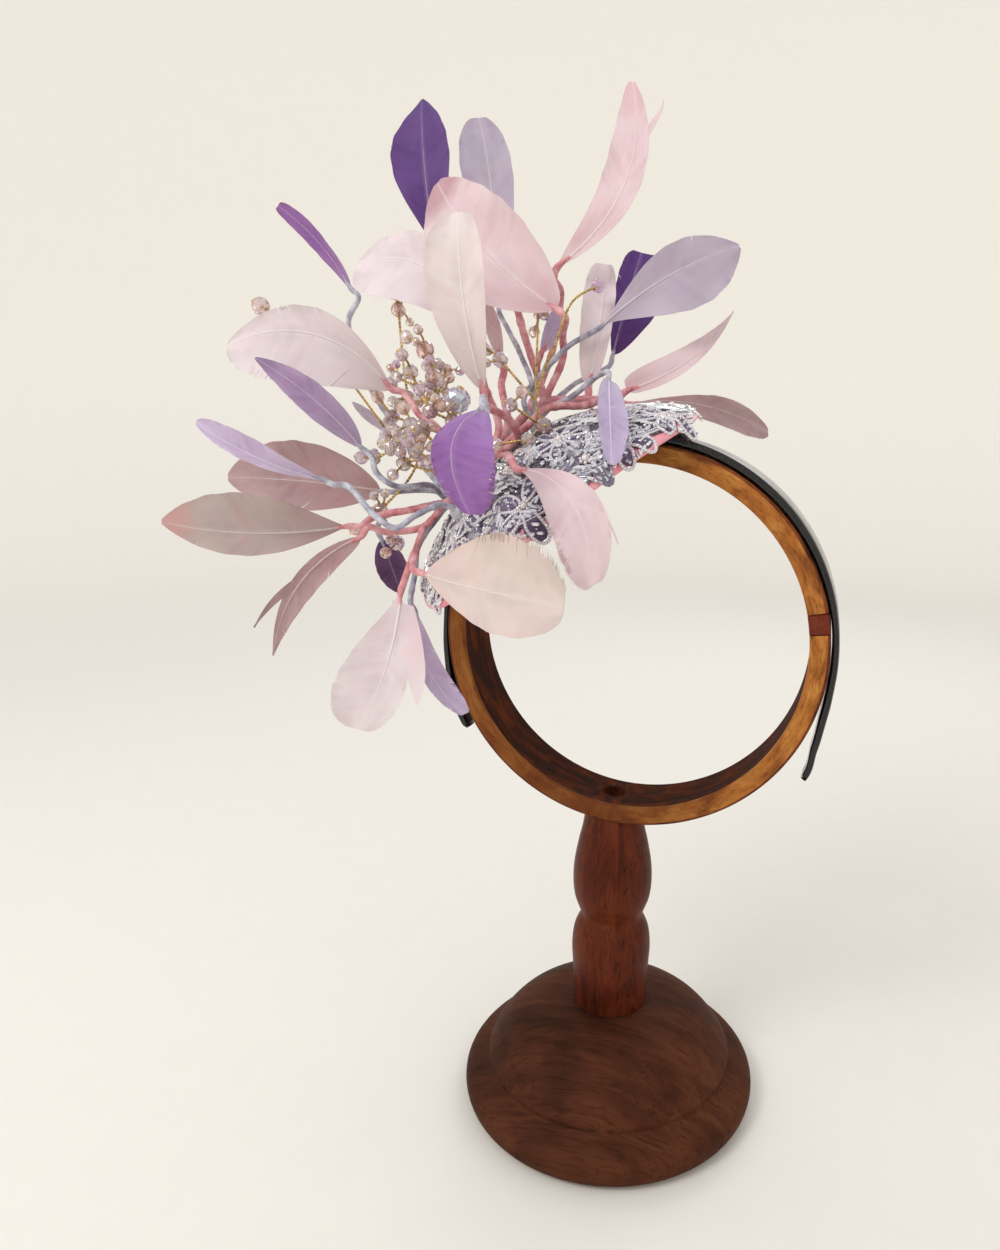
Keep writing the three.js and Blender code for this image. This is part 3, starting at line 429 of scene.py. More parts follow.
class Shader:
    """A material whose nodes are added by short calls."""

    def __init__(self, name: str, **surface: object) -> None:
        """Makes the material with one Principled surface.

        Args:
            name: the material's name.
            surface: numbers and colours for the surface's own sockets, with _ for a space.
        """
        self.material = bpy.data.materials.new(name)
        self.material.use_nodes = True
        self.tree = self.material.node_tree
        self.surface = self.tree.nodes["Principled BSDF"]
        for key, value in surface.items():
            self.surface.inputs[key.replace("_", " ")].default_value = value

    def feed(self, socket: Socket, value: object) -> None:
        """Links a socket to another, or sets it to a number, a vector or a screen colour."""
        if isinstance(value, Socket):
            self.tree.links.new(value, socket)
        else:
            socket.default_value = linear(value) if socket.type == "RGBA" else value

    def node(self, kind: str, inputs: dict[str | int, object], **settings: object) -> bpy.types.Node:
        """Adds a node.

        Args:
            kind: its type, without ShaderNode.
            inputs: what its inputs get, by name or number.
            settings: its own settings.

        Returns:
            The node.
        """
        made = self.tree.nodes.new("ShaderNode" + kind)
        for key, value in settings.items():
            setattr(made, key, value)
        for key, value in inputs.items():
            self.feed(made.inputs[key], value)
        return made

    def place(self, scale: Sequence[float] = (1, 1, 1), source: str = "Object",
              shift: Sequence[float] = (0, 0, 0)) -> Socket:
        """Object or UV coordinates, scaled and shifted."""
        base = self.node("TexCoord", {}).outputs[source]
        return self.node("Mapping", {"Vector": base, "Scale": scale, "Location": shift}).outputs[0]

    def noise(self, where: Socket, scale: float, detail: float = 4.0, rough: float = 0.55,
              warp: float = 0.0) -> Socket:
        """Fractal noise of about 0.3 to 0.7."""
        return self.node("TexNoise", {"Vector": where, "Scale": scale, "Detail": detail,
                                      "Roughness": rough, "Distortion": warp}).outputs["Fac"]

    def wave(self, where: Socket, scale: float, warp: float, detail: float,
             direction: str = "X") -> Socket:
        """Bands across one direction."""
        return self.node("TexWave", {"Vector": where, "Scale": scale, "Distortion": warp,
                                     "Detail": detail}, bands_direction=direction).outputs["Fac"]

    def ramp(self, factor: Socket, stops: Sequence[tuple[float, Colour]]) -> Socket:
        """Colours at places of a factor, mixed evenly between them.

        Args:
            factor: a number from 0 to 1.
            stops: each place with its screen colour.

        Returns:
            The mixed colour.
        """
        made = self.node("ValToRGB", {"Fac": factor})
        row = made.color_ramp.elements
        while len(row) < len(stops):
            row.new(0.5)
        for element, (spot, colour) in zip(row, stops):
            element.position = spot
            element.color = linear(colour)
        return made.outputs["Color"]

    def level(self, factor: Socket, low: float, high: float, start: float = 0.0,
              end: float = 1.0) -> Socket:
        """A factor stretched so that low becomes start and high becomes end, and clamped."""
        return self.node("MapRange", {"Value": factor, "From Min": low, "From Max": high,
                                      "To Min": start, "To Max": end}).outputs["Result"]

    def mix(self, factor: Socket, first: Socket | Colour, second: Socket | Colour) -> Socket:
        """Two colours mixed by a factor, whose colour inputs are the node's sixth and seventh."""
        return self.node("Mix", {0: factor, 6: first, 7: second}, data_type="RGBA").outputs[2]

    def math(self, operation: str, first: Socket | float, second: Socket | float = 0.0) -> Socket:
        """One sum on two numbers or sockets."""
        return self.node("Math", {0: first, 1: second}, operation=operation).outputs[0]

    def times(self, first: Socket, second: Socket | float) -> Socket:
        """Two factors multiplied."""
        return self.math("MULTIPLY", first, second)

    def total(self, *terms: Socket | tuple[Socket, float]) -> Socket:
        """Two factors added, where a pair is a factor and its weight."""
        return self.math("ADD", *(self.times(*x) if isinstance(x, tuple) else x for x in terms))

    def vector(self, operation: str, *places: Socket | Point) -> Socket:
        """The number that a sum on one or two places gives."""
        return self.node("VectorMath", dict(enumerate(places)), operation=operation).outputs["Value"]

    def split(self, where: Socket) -> tuple[Socket, ...]:
        """The X, Y and Z of a place."""
        return tuple(self.node("SeparateXYZ", {"Vector": where}).outputs)

    def bump(self, height: Socket, strength: float, depth: float, under: Socket | None = None) -> Socket:
        """Relief of a depth in metres, over another relief if one is given."""
        inputs = {"Height": height, "Strength": strength, "Distance": depth}
        return self.node("Bump", inputs if under is None else {**inputs, "Normal": under}).outputs["Normal"]

    def finish(self, colour: Socket, rough: Socket | float, normal: Socket | None = None) -> Material:
        """Gives the surface its colour, roughness and relief.

        Args:
            colour: the base colour.
            rough: the roughness.
            normal: the relief, or none.

        Returns:
            The material.
        """
        self.feed(self.surface.inputs["Base Color"], colour)
        self.feed(self.surface.inputs["Roughness"], rough)
        if normal is not None:
            self.feed(self.surface.inputs["Normal"], normal)
        return self.material


@dataclass(frozen=True)
class WoodFinish:
    """Lacquered wood, with its grain along one axis of the part or along the UV's u.

    crack is how dark its cracks are, blotch how close its blotches stand, and left_shade how much
    painted shade darkens its left side, away from the light. darker_near is the middle of a patch where it
    is darker.
    """

    name: str
    pale: Colour
    middle: Colour
    deep: Colour
    stretch: tuple[float, float, float]
    source: str = "Object"
    rough: float = 0.42
    coat: float = 0.25
    crack: float = 0.0
    blotch: float = 9.0
    left_shade: float = 0.0
    shine: float = 0.06
    darker_near: Point | None = None

    def material(self) -> Material:
        """Blotches, grain streaks and pores over three tones of the wood.

        Returns:
            The wood's material.
        """
        shader = Shader(self.name, Coat_Weight=self.coat, Coat_Roughness=0.3,
                        Specular_IOR_Level=self.shine)
        grain = shader.place(self.stretch, self.source)
        blotch = shader.noise(shader.place((1, 1, 1), self.source), self.blotch, 3, 0.5, 0.6)
        streak = shader.noise(grain, 1.0, 6, 0.62, 0.9)
        pores = shader.level(shader.noise(grain, 6.0, 3, 0.7), 0.36, 0.47, 1.0, 0.0)
        tone = shader.total((blotch, 0.55), (streak, 0.45))
        base = shader.ramp(shader.level(tone, 0.34, 0.64),
                           [(0.0, self.deep), (0.48, self.middle), (1.0, self.pale)])
        # Painted shade: the wood is darker on its left, the side away from the light.
        if self.left_shade > 0:
            across = shader.total(shader.split(shader.place())[0], (blotch, 0.05))
            base = shader.mix(shader.level(across, -0.03, 0.085, self.left_shade, 0.0), base, self.deep)
        # Darker round a point at the ring's bottom, where it sits in the stem.
        if self.darker_near is not None:
            away = shader.vector("DISTANCE", shader.place(), scaled(self.darker_near, MM))
            away = shader.total(away, (blotch, 0.03))
            base = shader.mix(shader.level(away, 0.025, 0.065, 0.8, 0.0), base, self.deep)
        colour = shader.mix(shader.times(pores, 0.45), base, self.deep)
        relief = shader.bump(shader.total(streak, (pores, -0.5)), 0.35, 0.0004)
        if self.crack > 0:
            fine = shader.place(scaled(self.stretch, 4), self.source)
            parted = shader.noise(fine, 0.6, 2, 0.4, 0.4)
            line = shader.times(shader.level(parted, 0.492, 0.508),
                                shader.level(parted, 0.508, 0.524, 1.0, 0.0))
            colour = shader.mix(shader.times(line, self.crack), colour, (0.07, 0.03, 0.02))
            relief = shader.bump(shader.math("SUBTRACT", 1.0, line), 0.5, 0.0003, relief)
        rough = shader.level(blotch, 0.3, 0.7, self.rough - 0.08, self.rough + 0.12)
        return shader.finish(colour, rough, relief)


@dataclass(frozen=True)
class GlossFinish:
    """Smooth moulded plastic with faint handling marks."""

    name: str
    colour: Colour
    rough: float

    def material(self) -> Material:
        """A dark gloss whose roughness wanders, with shallow waves in the moulding.

        Returns:
            The plastic's material.
        """
        shader = Shader(self.name, Specular_IOR_Level=0.4, Coat_Weight=0.25, Coat_Roughness=0.08)
        where = shader.place()
        smear = shader.noise(where, 60, 4, 0.6, 0.4)
        lift = tuple(min(1.0, x + 0.05) for x in self.colour)
        return shader.finish(shader.mix(shader.level(smear, 0.45, 0.7), self.colour, lift),
                             shader.level(smear, 0.3, 0.7, self.rough, self.rough + 0.16),
                             shader.bump(shader.noise(where, 140, 2), 0.12, 0.0003))


@dataclass(frozen=True)
class ThreadFinish:
    """Spun thread or cord: twisted fibres round its length, from the tube's UVs."""

    name: str
    colour: Colour
    light: Colour
    rough: float = 0.75
    metal: float = 0.0

    def material(self) -> Material:
        """Bands that climb round the tube, paler along their crests and darker in the grooves between them
        as painted shade, with fibres along them.

        Returns:
            The thread's material.
        """
        shader = Shader(self.name, Sheen_Weight=0.3, Metallic=self.metal)
        u, v, _ = shader.split(shader.place(source="UV"))
        ridge = shader.math("SINE", shader.times(shader.math("FRACT", shader.total(v, u)), np.pi))
        fibre = shader.noise(shader.place(), 900, 3, 0.7)
        # Painted shade: each band is paler along its crest and darker in the grooves of the twist.
        tone = shader.total((ridge, 0.6), (fibre, 0.5))
        colour = shader.mix(shader.level(tone, 0.25, 0.85), self.colour, self.light)
        return shader.finish(colour, self.rough, shader.bump(tone, 0.5, 0.0002))


@dataclass(frozen=True)
class TapeFinish:
    """Crepe tape wound on a wire: each turn laps the last, with painted shade in the step at each turn's
    edge.
    """

    name: str
    colour: Colour
    light: Colour
    dark: Colour

    def material(self) -> Material:
        """A saw tooth that climbs round the stem, darker at its low end with painted shade, blotched, with
        crepe creases across it.

        Returns:
            The tape's material.
        """
        shader = Shader(self.name, Sheen_Weight=0.2, Specular_IOR_Level=0.5)
        u, v, _ = shader.split(shader.place(source="UV"))
        lap = shader.math("FRACT", shader.total(v, u))
        blotch = shader.noise(shader.place(), 190, 3, 0.6)
        crease = shader.noise(shader.place((1, 1, 0.35)), 1300, 3, 0.7)
        # Painted shade: the tape is darker just past each turn's edge, in the step where the surface drops.
        tone = shader.total((shader.level(lap, 0.0, 0.2), 0.1), (blotch, 1.35))
        colour = shader.ramp(shader.level(tone, 0.45, 1.0),
                             [(0.0, self.dark), (0.5, self.colour), (1.0, self.light)])
        return shader.finish(colour, 0.5, shader.bump(shader.total(lap, (crease, 0.5)), 0.3, 0.0002))


@dataclass(frozen=True)
class SatinFinish:
    """Satin cloth: a fine twill with a soft sheen, of so many ribs in a metre."""

    name: str
    colour: Colour
    light: Colour
    ribs: float = 1500.0

    def material(self) -> Material:
        """Fine threads across each other, with a slow change of tone.

        Returns:
            The cloth's material.
        """
        shader = Shader(self.name, Sheen_Weight=0.5, Sheen_Roughness=0.35, Specular_IOR_Level=0.6)
        warp = shader.wave(shader.place((1, 0.6, 0.8)), self.ribs / 6.28, 1.0, 1.0)
        weft = shader.wave(shader.place((0.3, 1, 0.2)), self.ribs / 6.28, 1.0, 1.0, "Y")
        tone = shader.level(shader.noise(shader.place(), 60, 3), 0.35, 0.65)
        return shader.finish(shader.mix(tone, self.colour, self.light),
                             shader.level(warp, 0, 1, 0.3, 0.45),
                             shader.bump(shader.total(warp, weft), 0.2, 0.0001))


@dataclass(frozen=True)
class NetFinish:
    """Net ground: cells of thread over the cloth below, so many in a metre."""

    name: str
    thread: Colour
    hollow: Colour
    cell: float

    def material(self) -> Material:
        """Threads between the cells of an even scatter, raised over the cloth they lie on.

        Returns:
            The net's material.
        """
        shader = Shader(self.name, Sheen_Weight=0.3)
        where = shader.place()
        cells = shader.node("TexVoronoi", {"Vector": where, "Scale": self.cell, "Randomness": 0.35},
                            feature="DISTANCE_TO_EDGE").outputs["Distance"]
        line = shader.level(cells, 0.04, 0.12, 1.0, 0.0)
        tint = shader.level(shader.noise(where, 90, 3), 0.4, 0.62)
        cloth = shader.mix(tint, self.hollow, scaled(self.hollow, 0.72))
        return shader.finish(shader.mix(line, cloth, self.thread), 0.6, shader.bump(line, 0.6, 0.0003))


@dataclass(frozen=True)
class StitchFinish:
    """Satin-stitch embroidery: glossy threads across a petal, from its UVs."""

    name: str
    colour: Colour
    light: Colour

    def material(self) -> Material:
        """Threads side by side along v, each a little lighter or darker.

        Returns:
            The embroidery's material.
        """
        shader = Shader(self.name, Sheen_Weight=0.4, Specular_IOR_Level=0.6)
        thread = shader.wave(shader.place(source="UV"), 9, 1.2, 2.0, "Y")
        tone = shader.noise(shader.place((2, 22, 1), "UV"), 3.0, 2)
        mixed = shader.total((tone, 0.6), (shader.noise(shader.place(), 120, 2), 0.6))
        colour = shader.mix(shader.level(mixed, 0.42, 0.78), self.colour, self.light)
        return shader.finish(colour, 0.45, shader.bump(thread, 0.5, 0.0003))


@dataclass(frozen=True)
class CrystalFinish:
    """Cut glass or pearl, whose colour differs a little from bead to bead.

    clear is how much light goes through, and film the thickness of its rainbow coat in nanometres.
    """

    name: str
    tints: tuple[Colour, Colour, Colour]
    clear: float
    rough: float = 0.04
    metal: float = 0.0
    film: float = 0.0

    def material(self) -> Material:
        """A tint for each island of the mesh, with pale specks in it.

        Returns:
            The beads' material.
        """
        shader = Shader(self.name, Transmission_Weight=self.clear, IOR=1.56, Metallic=self.metal,
                        Coat_Weight=1.0, Coat_Roughness=0.03, Coat_IOR=1.8,
                        Thin_Film_Thickness=self.film)
        island = shader.node("NewGeometry", {}).outputs["Random Per Island"]
        colour = shader.ramp(island, list(zip((0.0, 0.5, 1.0), self.tints)))
        speck = shader.level(shader.noise(shader.place(), 500, 2), 0.5, 0.75, 0.0, 0.35)
        return shader.finish(shader.mix(speck, colour, (1.0, 1.0, 1.0)), self.rough)


@dataclass(frozen=True)
class MetalFinish:
    """Soft drawn wire."""

    name: str
    colour: Colour
    rough: float = 0.3

    def material(self) -> Material:
        """Metal whose tone and roughness change a little along it.

        Returns:
            The wire's material.
        """
        shader = Shader(self.name, Metallic=1.0)
        tone = shader.noise(shader.place(), 420, 3)
        colour = shader.mix(shader.level(tone, 0.35, 0.6), scaled(self.colour, 0.72), self.colour)
        return shader.finish(colour, shader.level(tone, 0.3, 0.7, self.rough, self.rough + 0.2))


class Dye(Enum):
    """The feathers' dyes: a blade's middle, its root, its edge, and its streaks. Dusty pink is also painted
    shade, on the pink feather that lies in shadow at the back.
    """

    IVORY = ((0.93, 0.88, 0.87), (0.925, 0.87, 0.855), (0.92, 0.85, 0.845), (0.90, 0.80, 0.79))
    CREAM = ((0.87, 0.81, 0.785), (0.88, 0.77, 0.76), (0.875, 0.775, 0.755), (0.83, 0.76, 0.73))
    PALE_PINK = ((0.915, 0.86, 0.87), (0.90, 0.79, 0.80), (0.925, 0.88, 0.885), (0.87, 0.78, 0.81))
    PINK = ((0.90, 0.80, 0.815), (0.84, 0.69, 0.71), (0.92, 0.835, 0.845), (0.845, 0.70, 0.73))
    # Darker than the other pinks: the dye of the forked and far right feathers, and painted shade on the
    # shadowed pink one at the back.
    DUSTY_PINK = ((0.71, 0.585, 0.585), (0.73, 0.55, 0.55), (0.75, 0.64, 0.635), (0.62, 0.475, 0.50))
    GREY_PINK = ((0.71, 0.655, 0.64), (0.73, 0.60, 0.595), (0.74, 0.67, 0.645), (0.72, 0.56, 0.55))
    LILAC = ((0.81, 0.735, 0.865), (0.82, 0.76, 0.87), (0.86, 0.79, 0.89), (0.72, 0.60, 0.79))
    LILAC_GREY = ((0.74, 0.695, 0.755), (0.80, 0.74, 0.80), (0.77, 0.725, 0.785), (0.71, 0.60, 0.71))
    MAUVE = ((0.685, 0.57, 0.72), (0.66, 0.60, 0.72), (0.74, 0.65, 0.775), (0.58, 0.45, 0.64))
    PURPLE = ((0.61, 0.42, 0.68), (0.68, 0.54, 0.74), (0.64, 0.46, 0.70), (0.50, 0.32, 0.58))
    DARK_PURPLE = ((0.35, 0.21, 0.47), (0.37, 0.23, 0.49), (0.42, 0.27, 0.52), (0.27, 0.13, 0.40))
    PLUM = ((0.38, 0.26, 0.40), (0.42, 0.30, 0.45), (0.46, 0.34, 0.47), (0.27, 0.16, 0.30))


@dataclass(frozen=True)
class FeatherFinish:
    """A dyed feather: barbs side by side, paler at the quill, partly with a painted highlight along the
    midrib, with the dye uneven along it and broad patches of painted shade.

    clear is how solid the blade looks, and tip_dye_and_shade a colour laid over its tip: a dye on most
    feathers and painted shadow on the large pink one.
    """

    dye: Dye
    clear: float = 1.0
    tip_dye_and_shade: Colour | None = None

    def material(self) -> Material:
        """Barb lines run out along u, and the dye changes from root to tip along v.

        Returns:
            The blade's material.
        """
        blade, root, edge, streak = self.dye.value
        shader = Shader(f"feather_{self.dye.name.lower()}_{int(100 * self.clear)}", Sheen_Weight=0.15,
                        Sheen_Roughness=0.4, Specular_IOR_Level=0.3, Alpha=self.clear)
        u, v, _ = shader.split(shader.place(source="UV"))
        out = shader.math("ABSOLUTE", u)
        barbs = shader.noise(shader.place((1.2, 300, 1), "UV"), 1.0, 3, 0.7)
        bands = shader.noise(shader.place((0.8, 15, 1), "UV"), 1.0, 2, 0.5, 0.3)
        cloud = shader.noise(shader.place(), 42, 2, 0.5)
        # Broad patches of painted shade, darker over parts of the blade.
        painted_shade = shader.noise(shader.place((1.1, 2.6, 1), "UV", (0.0, 3.0, 0.0)), 1.0, 2, 0.5)
        base = shader.mix(shader.level(v, 0.0, 0.42), root, blade)
        base = shader.mix(shader.level(out, 0.55, 1.0, 0.0, 0.65), base, edge)
        base = shader.mix(shader.level(bands, 0.48, 0.72, 0.0, 0.55), base, streak)
        base = shader.mix(shader.level(cloud, 0.46, 0.64, 0.0, 0.65), base, edge)
        base = shader.mix(shader.level(painted_shade, 0.4, 0.64, 0.0, 0.3), base, scaled(blade, 0.78))
        # The tip's colour is a dye on most feathers and a painted shadow on the large pink one.
        if self.tip_dye_and_shade is not None:
            tip = shader.level(shader.total(v, (cloud, 0.3)), 0.95, 1.05, 0.0, 0.75)
            base = shader.mix(tip, base, self.tip_dye_and_shade)
        # Near the quill the blade is paler: partly its pale midrib, partly a painted highlight along the
        # ridge.
        pale = tuple(0.5 + 0.5 * x for x in blade)
        base = shader.mix(shader.level(out, 0.0, 0.12, 0.22, 0.0), base, pale)
        colour = shader.mix(shader.level(barbs, 0.36, 0.62, 0.18, 0.0), base, streak)
        relief = shader.bump(barbs, 0.35, 0.00015, shader.bump(bands, 0.3, 0.0005))
        return shader.finish(colour, shader.level(barbs, 0.3, 0.7, 0.62, 0.5), relief)


@dataclass(frozen=True)
class ShaftFinish:
    """The horny shaft of a feather, dyed paler than its blade."""

    dye: Dye

    def material(self) -> Material:
        """A smooth waxy tone that darkens in patches.

        Returns:
            The shaft's material.
        """
        blade = np.array(self.dye.value[0])
        pale = tuple((0.62 * blade + 0.38 * np.array([0.95, 0.91, 0.90])).tolist())
        deep = tuple((0.85 * blade + 0.13).tolist())
        shader = Shader(f"shaft_{self.dye.name.lower()}", Specular_IOR_Level=0.5)
        tone = shader.noise(shader.place(), 260, 3)
        return shader.finish(shader.mix(shader.level(tone, 0.42, 0.7), pale, deep), 0.35,
                             shader.bump(tone, 0.2, 0.0001))


@dataclass(frozen=True)
class PaperFinish:
    """A pale even surface for the floor, and for the backdrop, which glows a little."""

    name: str
    floor: Colour
    wall: Colour
    glow: float

    def material(self) -> Material:
        """A matt tone with a very faint tooth, that changes from the floor's to the wall's.

        Returns:
            The paper's material.
        """
        shader = Shader(self.name, Specular_IOR_Level=0.1, Emission_Color=linear(self.wall))
        where = shader.place()
        out = shader.vector("LENGTH", where)
        tooth = shader.level(shader.noise(where, 60, 2), 0.4, 0.6, 0.0, 0.02)
        colour = shader.mix(shader.level(out, 0.5, 2.2), self.floor, self.wall)
        shader.feed(shader.surface.inputs["Emission Strength"],
                    shader.level(out, 0.9, 2.3, 0.0, self.glow))
        return shader.finish(shader.mix(tooth, colour, (0.8, 0.78, 0.74)), 0.9)


MATERIALS: dict[Finish, Material] = {}


def dressed(finish: Finish) -> Material:
    """The material of a finish, made the first time that it is asked for."""
    if finish not in MATERIALS:
        MATERIALS[finish] = finish.material()
    return MATERIALS[finish]


# Wooden stand


@dataclass
class TurnedPiece:
    """A piece turned about the vertical through the origin, in rows of height and radius.

    saddle is the radius of the ring that sits in its top, or 0 for a flat top.
    """

    name: str
    node: str
    slot: str
    finish: WoodFinish
    profile: tuple[tuple[float, float], ...]
    segments: int = 144
    step: float = 0.95
    saddle: float = 0.0

    def build(self) -> None:
        """Turns the profile, smoothed, and hollows its top where a ring sits on it.

        The surface is (r cos a, r sin a, h) for r and h on a smooth curve through the rows. The
        hollow keeps every point below the ring: h is at most the ring's centre less the root of
        the saddle's radius squared less the distance across squared.
        """
        path = smooth_path([(radius, 0, height) for height, radius in self.profile], self.step)
        inward = np.array([0.2, 0.4, 0.6, 0.8, 0.93])
        radius = np.concatenate([path[0, 0] * inward, path[:, 0], path[-1, 0] * inward[::-1]])
        height = np.pad(path[:, 2], len(inward), "edge")
        angle = steps_round(self.segments)
        x, y = radius[:, None] * np.cos(angle), radius[:, None] * np.sin(angle)
        z = np.broadcast_to(height[:, None], x.shape)
        top = height[-1]
        if self.saddle:
            z = np.minimum(z, RING_CENTRE[2] - np.sqrt(self.saddle ** 2 - (x - RING_CENTRE[0]) ** 2))
            top = RING_CENTRE[2] - np.sqrt(self.saddle ** 2 - RING_CENTRE[0] ** 2)
        stack = MeshStack(self.name)
        stack.closed_grid(np.stack([x, y, z], axis=-1), np.array([0, 0, height[0]]), np.array([0, 0, top]))
        stack.deliver(self.slot, self.node, [self.finish], 38.0)


@dataclass
class WoodRing:
    """The ring that the headband sits on, with a screw hole inside and a key let into its front.

    between is how many points lie between the section's rounded corners: in front, outside, at
    the back and inside. The finishes are those of its faces, its inside, which is darker with
    painted shade, and its outside. grain is how far the grain's v goes round.
    """

    finishes: tuple[WoodFinish, WoodFinish, WoodFinish]
    key_finish: WoodFinish
    outer: float = 75.0
    inner: float = 67.4
    depth: float = 26.4
    edge: float = 1.1
    between: tuple[int, int, int, int] = (5, 13, 5, 32)
    turns: int = 420
    key_from: float = 6.2
    key_to: float = 12.2
    key_depth: float = 7.0
    key_bevel: float = 0.35
    key_rows: int = 14
    gap: float = 0.3
    hole_radius: float = 4.9
    hole_floor: float = 3.4
    hole_depth: float = 3.0
    grain: float = 4.7

    def section(self) -> tuple[Array, Array]:
        """The points round a rounded rectangle: four arcs, and the straight lines between them.

        Returns:
            Each point's radius and depth, and the number of its finish.
        """
        half, e = self.depth / 2, self.edge
        turn = np.linspace(0, np.pi / 2, 5)
        sides, slots = [], []
        corners = [(self.inner + e, e - half, np.pi), (self.outer - e, e - half, 1.5 * np.pi),
                   (self.outer - e, half - e, 0.0), (self.inner + e, half - e, 0.5 * np.pi)]
        for k, (r, y, start) in enumerate(corners):
            arc = np.stack([r + e * np.cos(start + turn), y + e * np.sin(start + turn)], axis=1)
            r2, y2, start2 = corners[(k + 1) % 4]
            after = np.array([r2 + e * np.cos(start2), y2 + e * np.sin(start2)])
            flat = np.linspace(0, 1, self.between[k] + 2)[1:-1]
            sides += [arc, arc[-1] + (after - arc[-1]) * flat[:, None]]
            slots.append(np.full(len(arc) + len(flat), (0, 2, 0, 1)[k]))
        return np.vstack(sides), np.concatenate(slots)

    def build_ring(self) -> None:
        """Carries the section round the ring, and sinks the key's slot and the screw hole.

        A point is centre + (r cos a, y, r sin a). In the slot's angles y is at least the key's
        depth. The hole adds to r a share of its depth that falls to nothing at its rim.
        """
        section, slots = self.section()
        slack = np.degrees(self.gap / self.outer)
        low, high = self.key_from - slack, self.key_to + slack
        middle = (self.key_from + self.key_to) / 2
        hole = np.degrees(np.arctan2(-np.sqrt(self.inner ** 2 - RING_CENTRE[0] ** 2), -RING_CENTRE[0])) % 360
        angle = np.unique(np.concatenate([
            np.linspace(middle, middle + 360, self.turns)[:-1], hole + np.linspace(-6, 6, 41),
            [low + 360, low + 360.03, high, high - 0.03]]))
        turn = np.radians(angle)[:, None]
        y = np.broadcast_to(section[:, 1], (len(angle), len(section)))
        in_slot = (((angle % 360) > low + 0.01) & ((angle % 360) < high - 0.01))[:, None]
        y = np.where(in_slot, np.maximum(y, self.key_depth + self.gap - self.depth / 2), y)
        r = np.broadcast_to(section[:, 0], y.shape)
        across = np.hypot(RING_CENTRE[0] + r * np.cos(turn), y)
        fall = np.clip((self.hole_radius - across) / (self.hole_radius - self.hole_floor), 0, 1)
        r = r + self.hole_depth * fall * (r < self.inner + 0.2) * (np.sin(turn) < 0)
        stack = MeshStack("ring_wood")
        stack.closed_ring(round_centre(r, y, turn), np.tile(slots, len(angle)), self.grain)
        stack.deliver("ring_wood", "stand_ring", self.finishes, 40.0)

    def build_key(self) -> None:
        """Carries a bevelled rectangle between the slot's two angles, a little smaller at both."""
        bevel, r0, r1 = self.key_bevel, self.inner, self.outer
        back, front = self.key_depth - self.depth / 2, -self.depth / 2
        inside = np.linspace(self.key_from + 0.28, self.key_to - 0.28, self.key_rows)
        angle = np.radians(np.concatenate([[self.key_from], inside, [self.key_to]]))
        loop = np.array([(r0 + bevel, front), (r1 - bevel, front), (r1, front + bevel), (r1, back - bevel),
                         (r1 - bevel, back), (r0 + bevel, back), (r0, back - bevel), (r0, front + bevel)])
        middle = loop.mean(axis=0)
        shrink = np.array([0.9] + [1.0] * self.key_rows + [0.9])[:, None, None]
        section = middle + (loop - middle)[None] * shrink
        stack = MeshStack("ring_key_block")
        stack.closed_grid(round_centre(section[..., 0], section[..., 1], angle[:, None]))
        stack.deliver("key_wood", "ring_key", [self.key_finish], 30.0)

    def build(self) -> None:
        """Makes the ring and its key."""
        self.build_ring()
        self.build_key()


# Headband


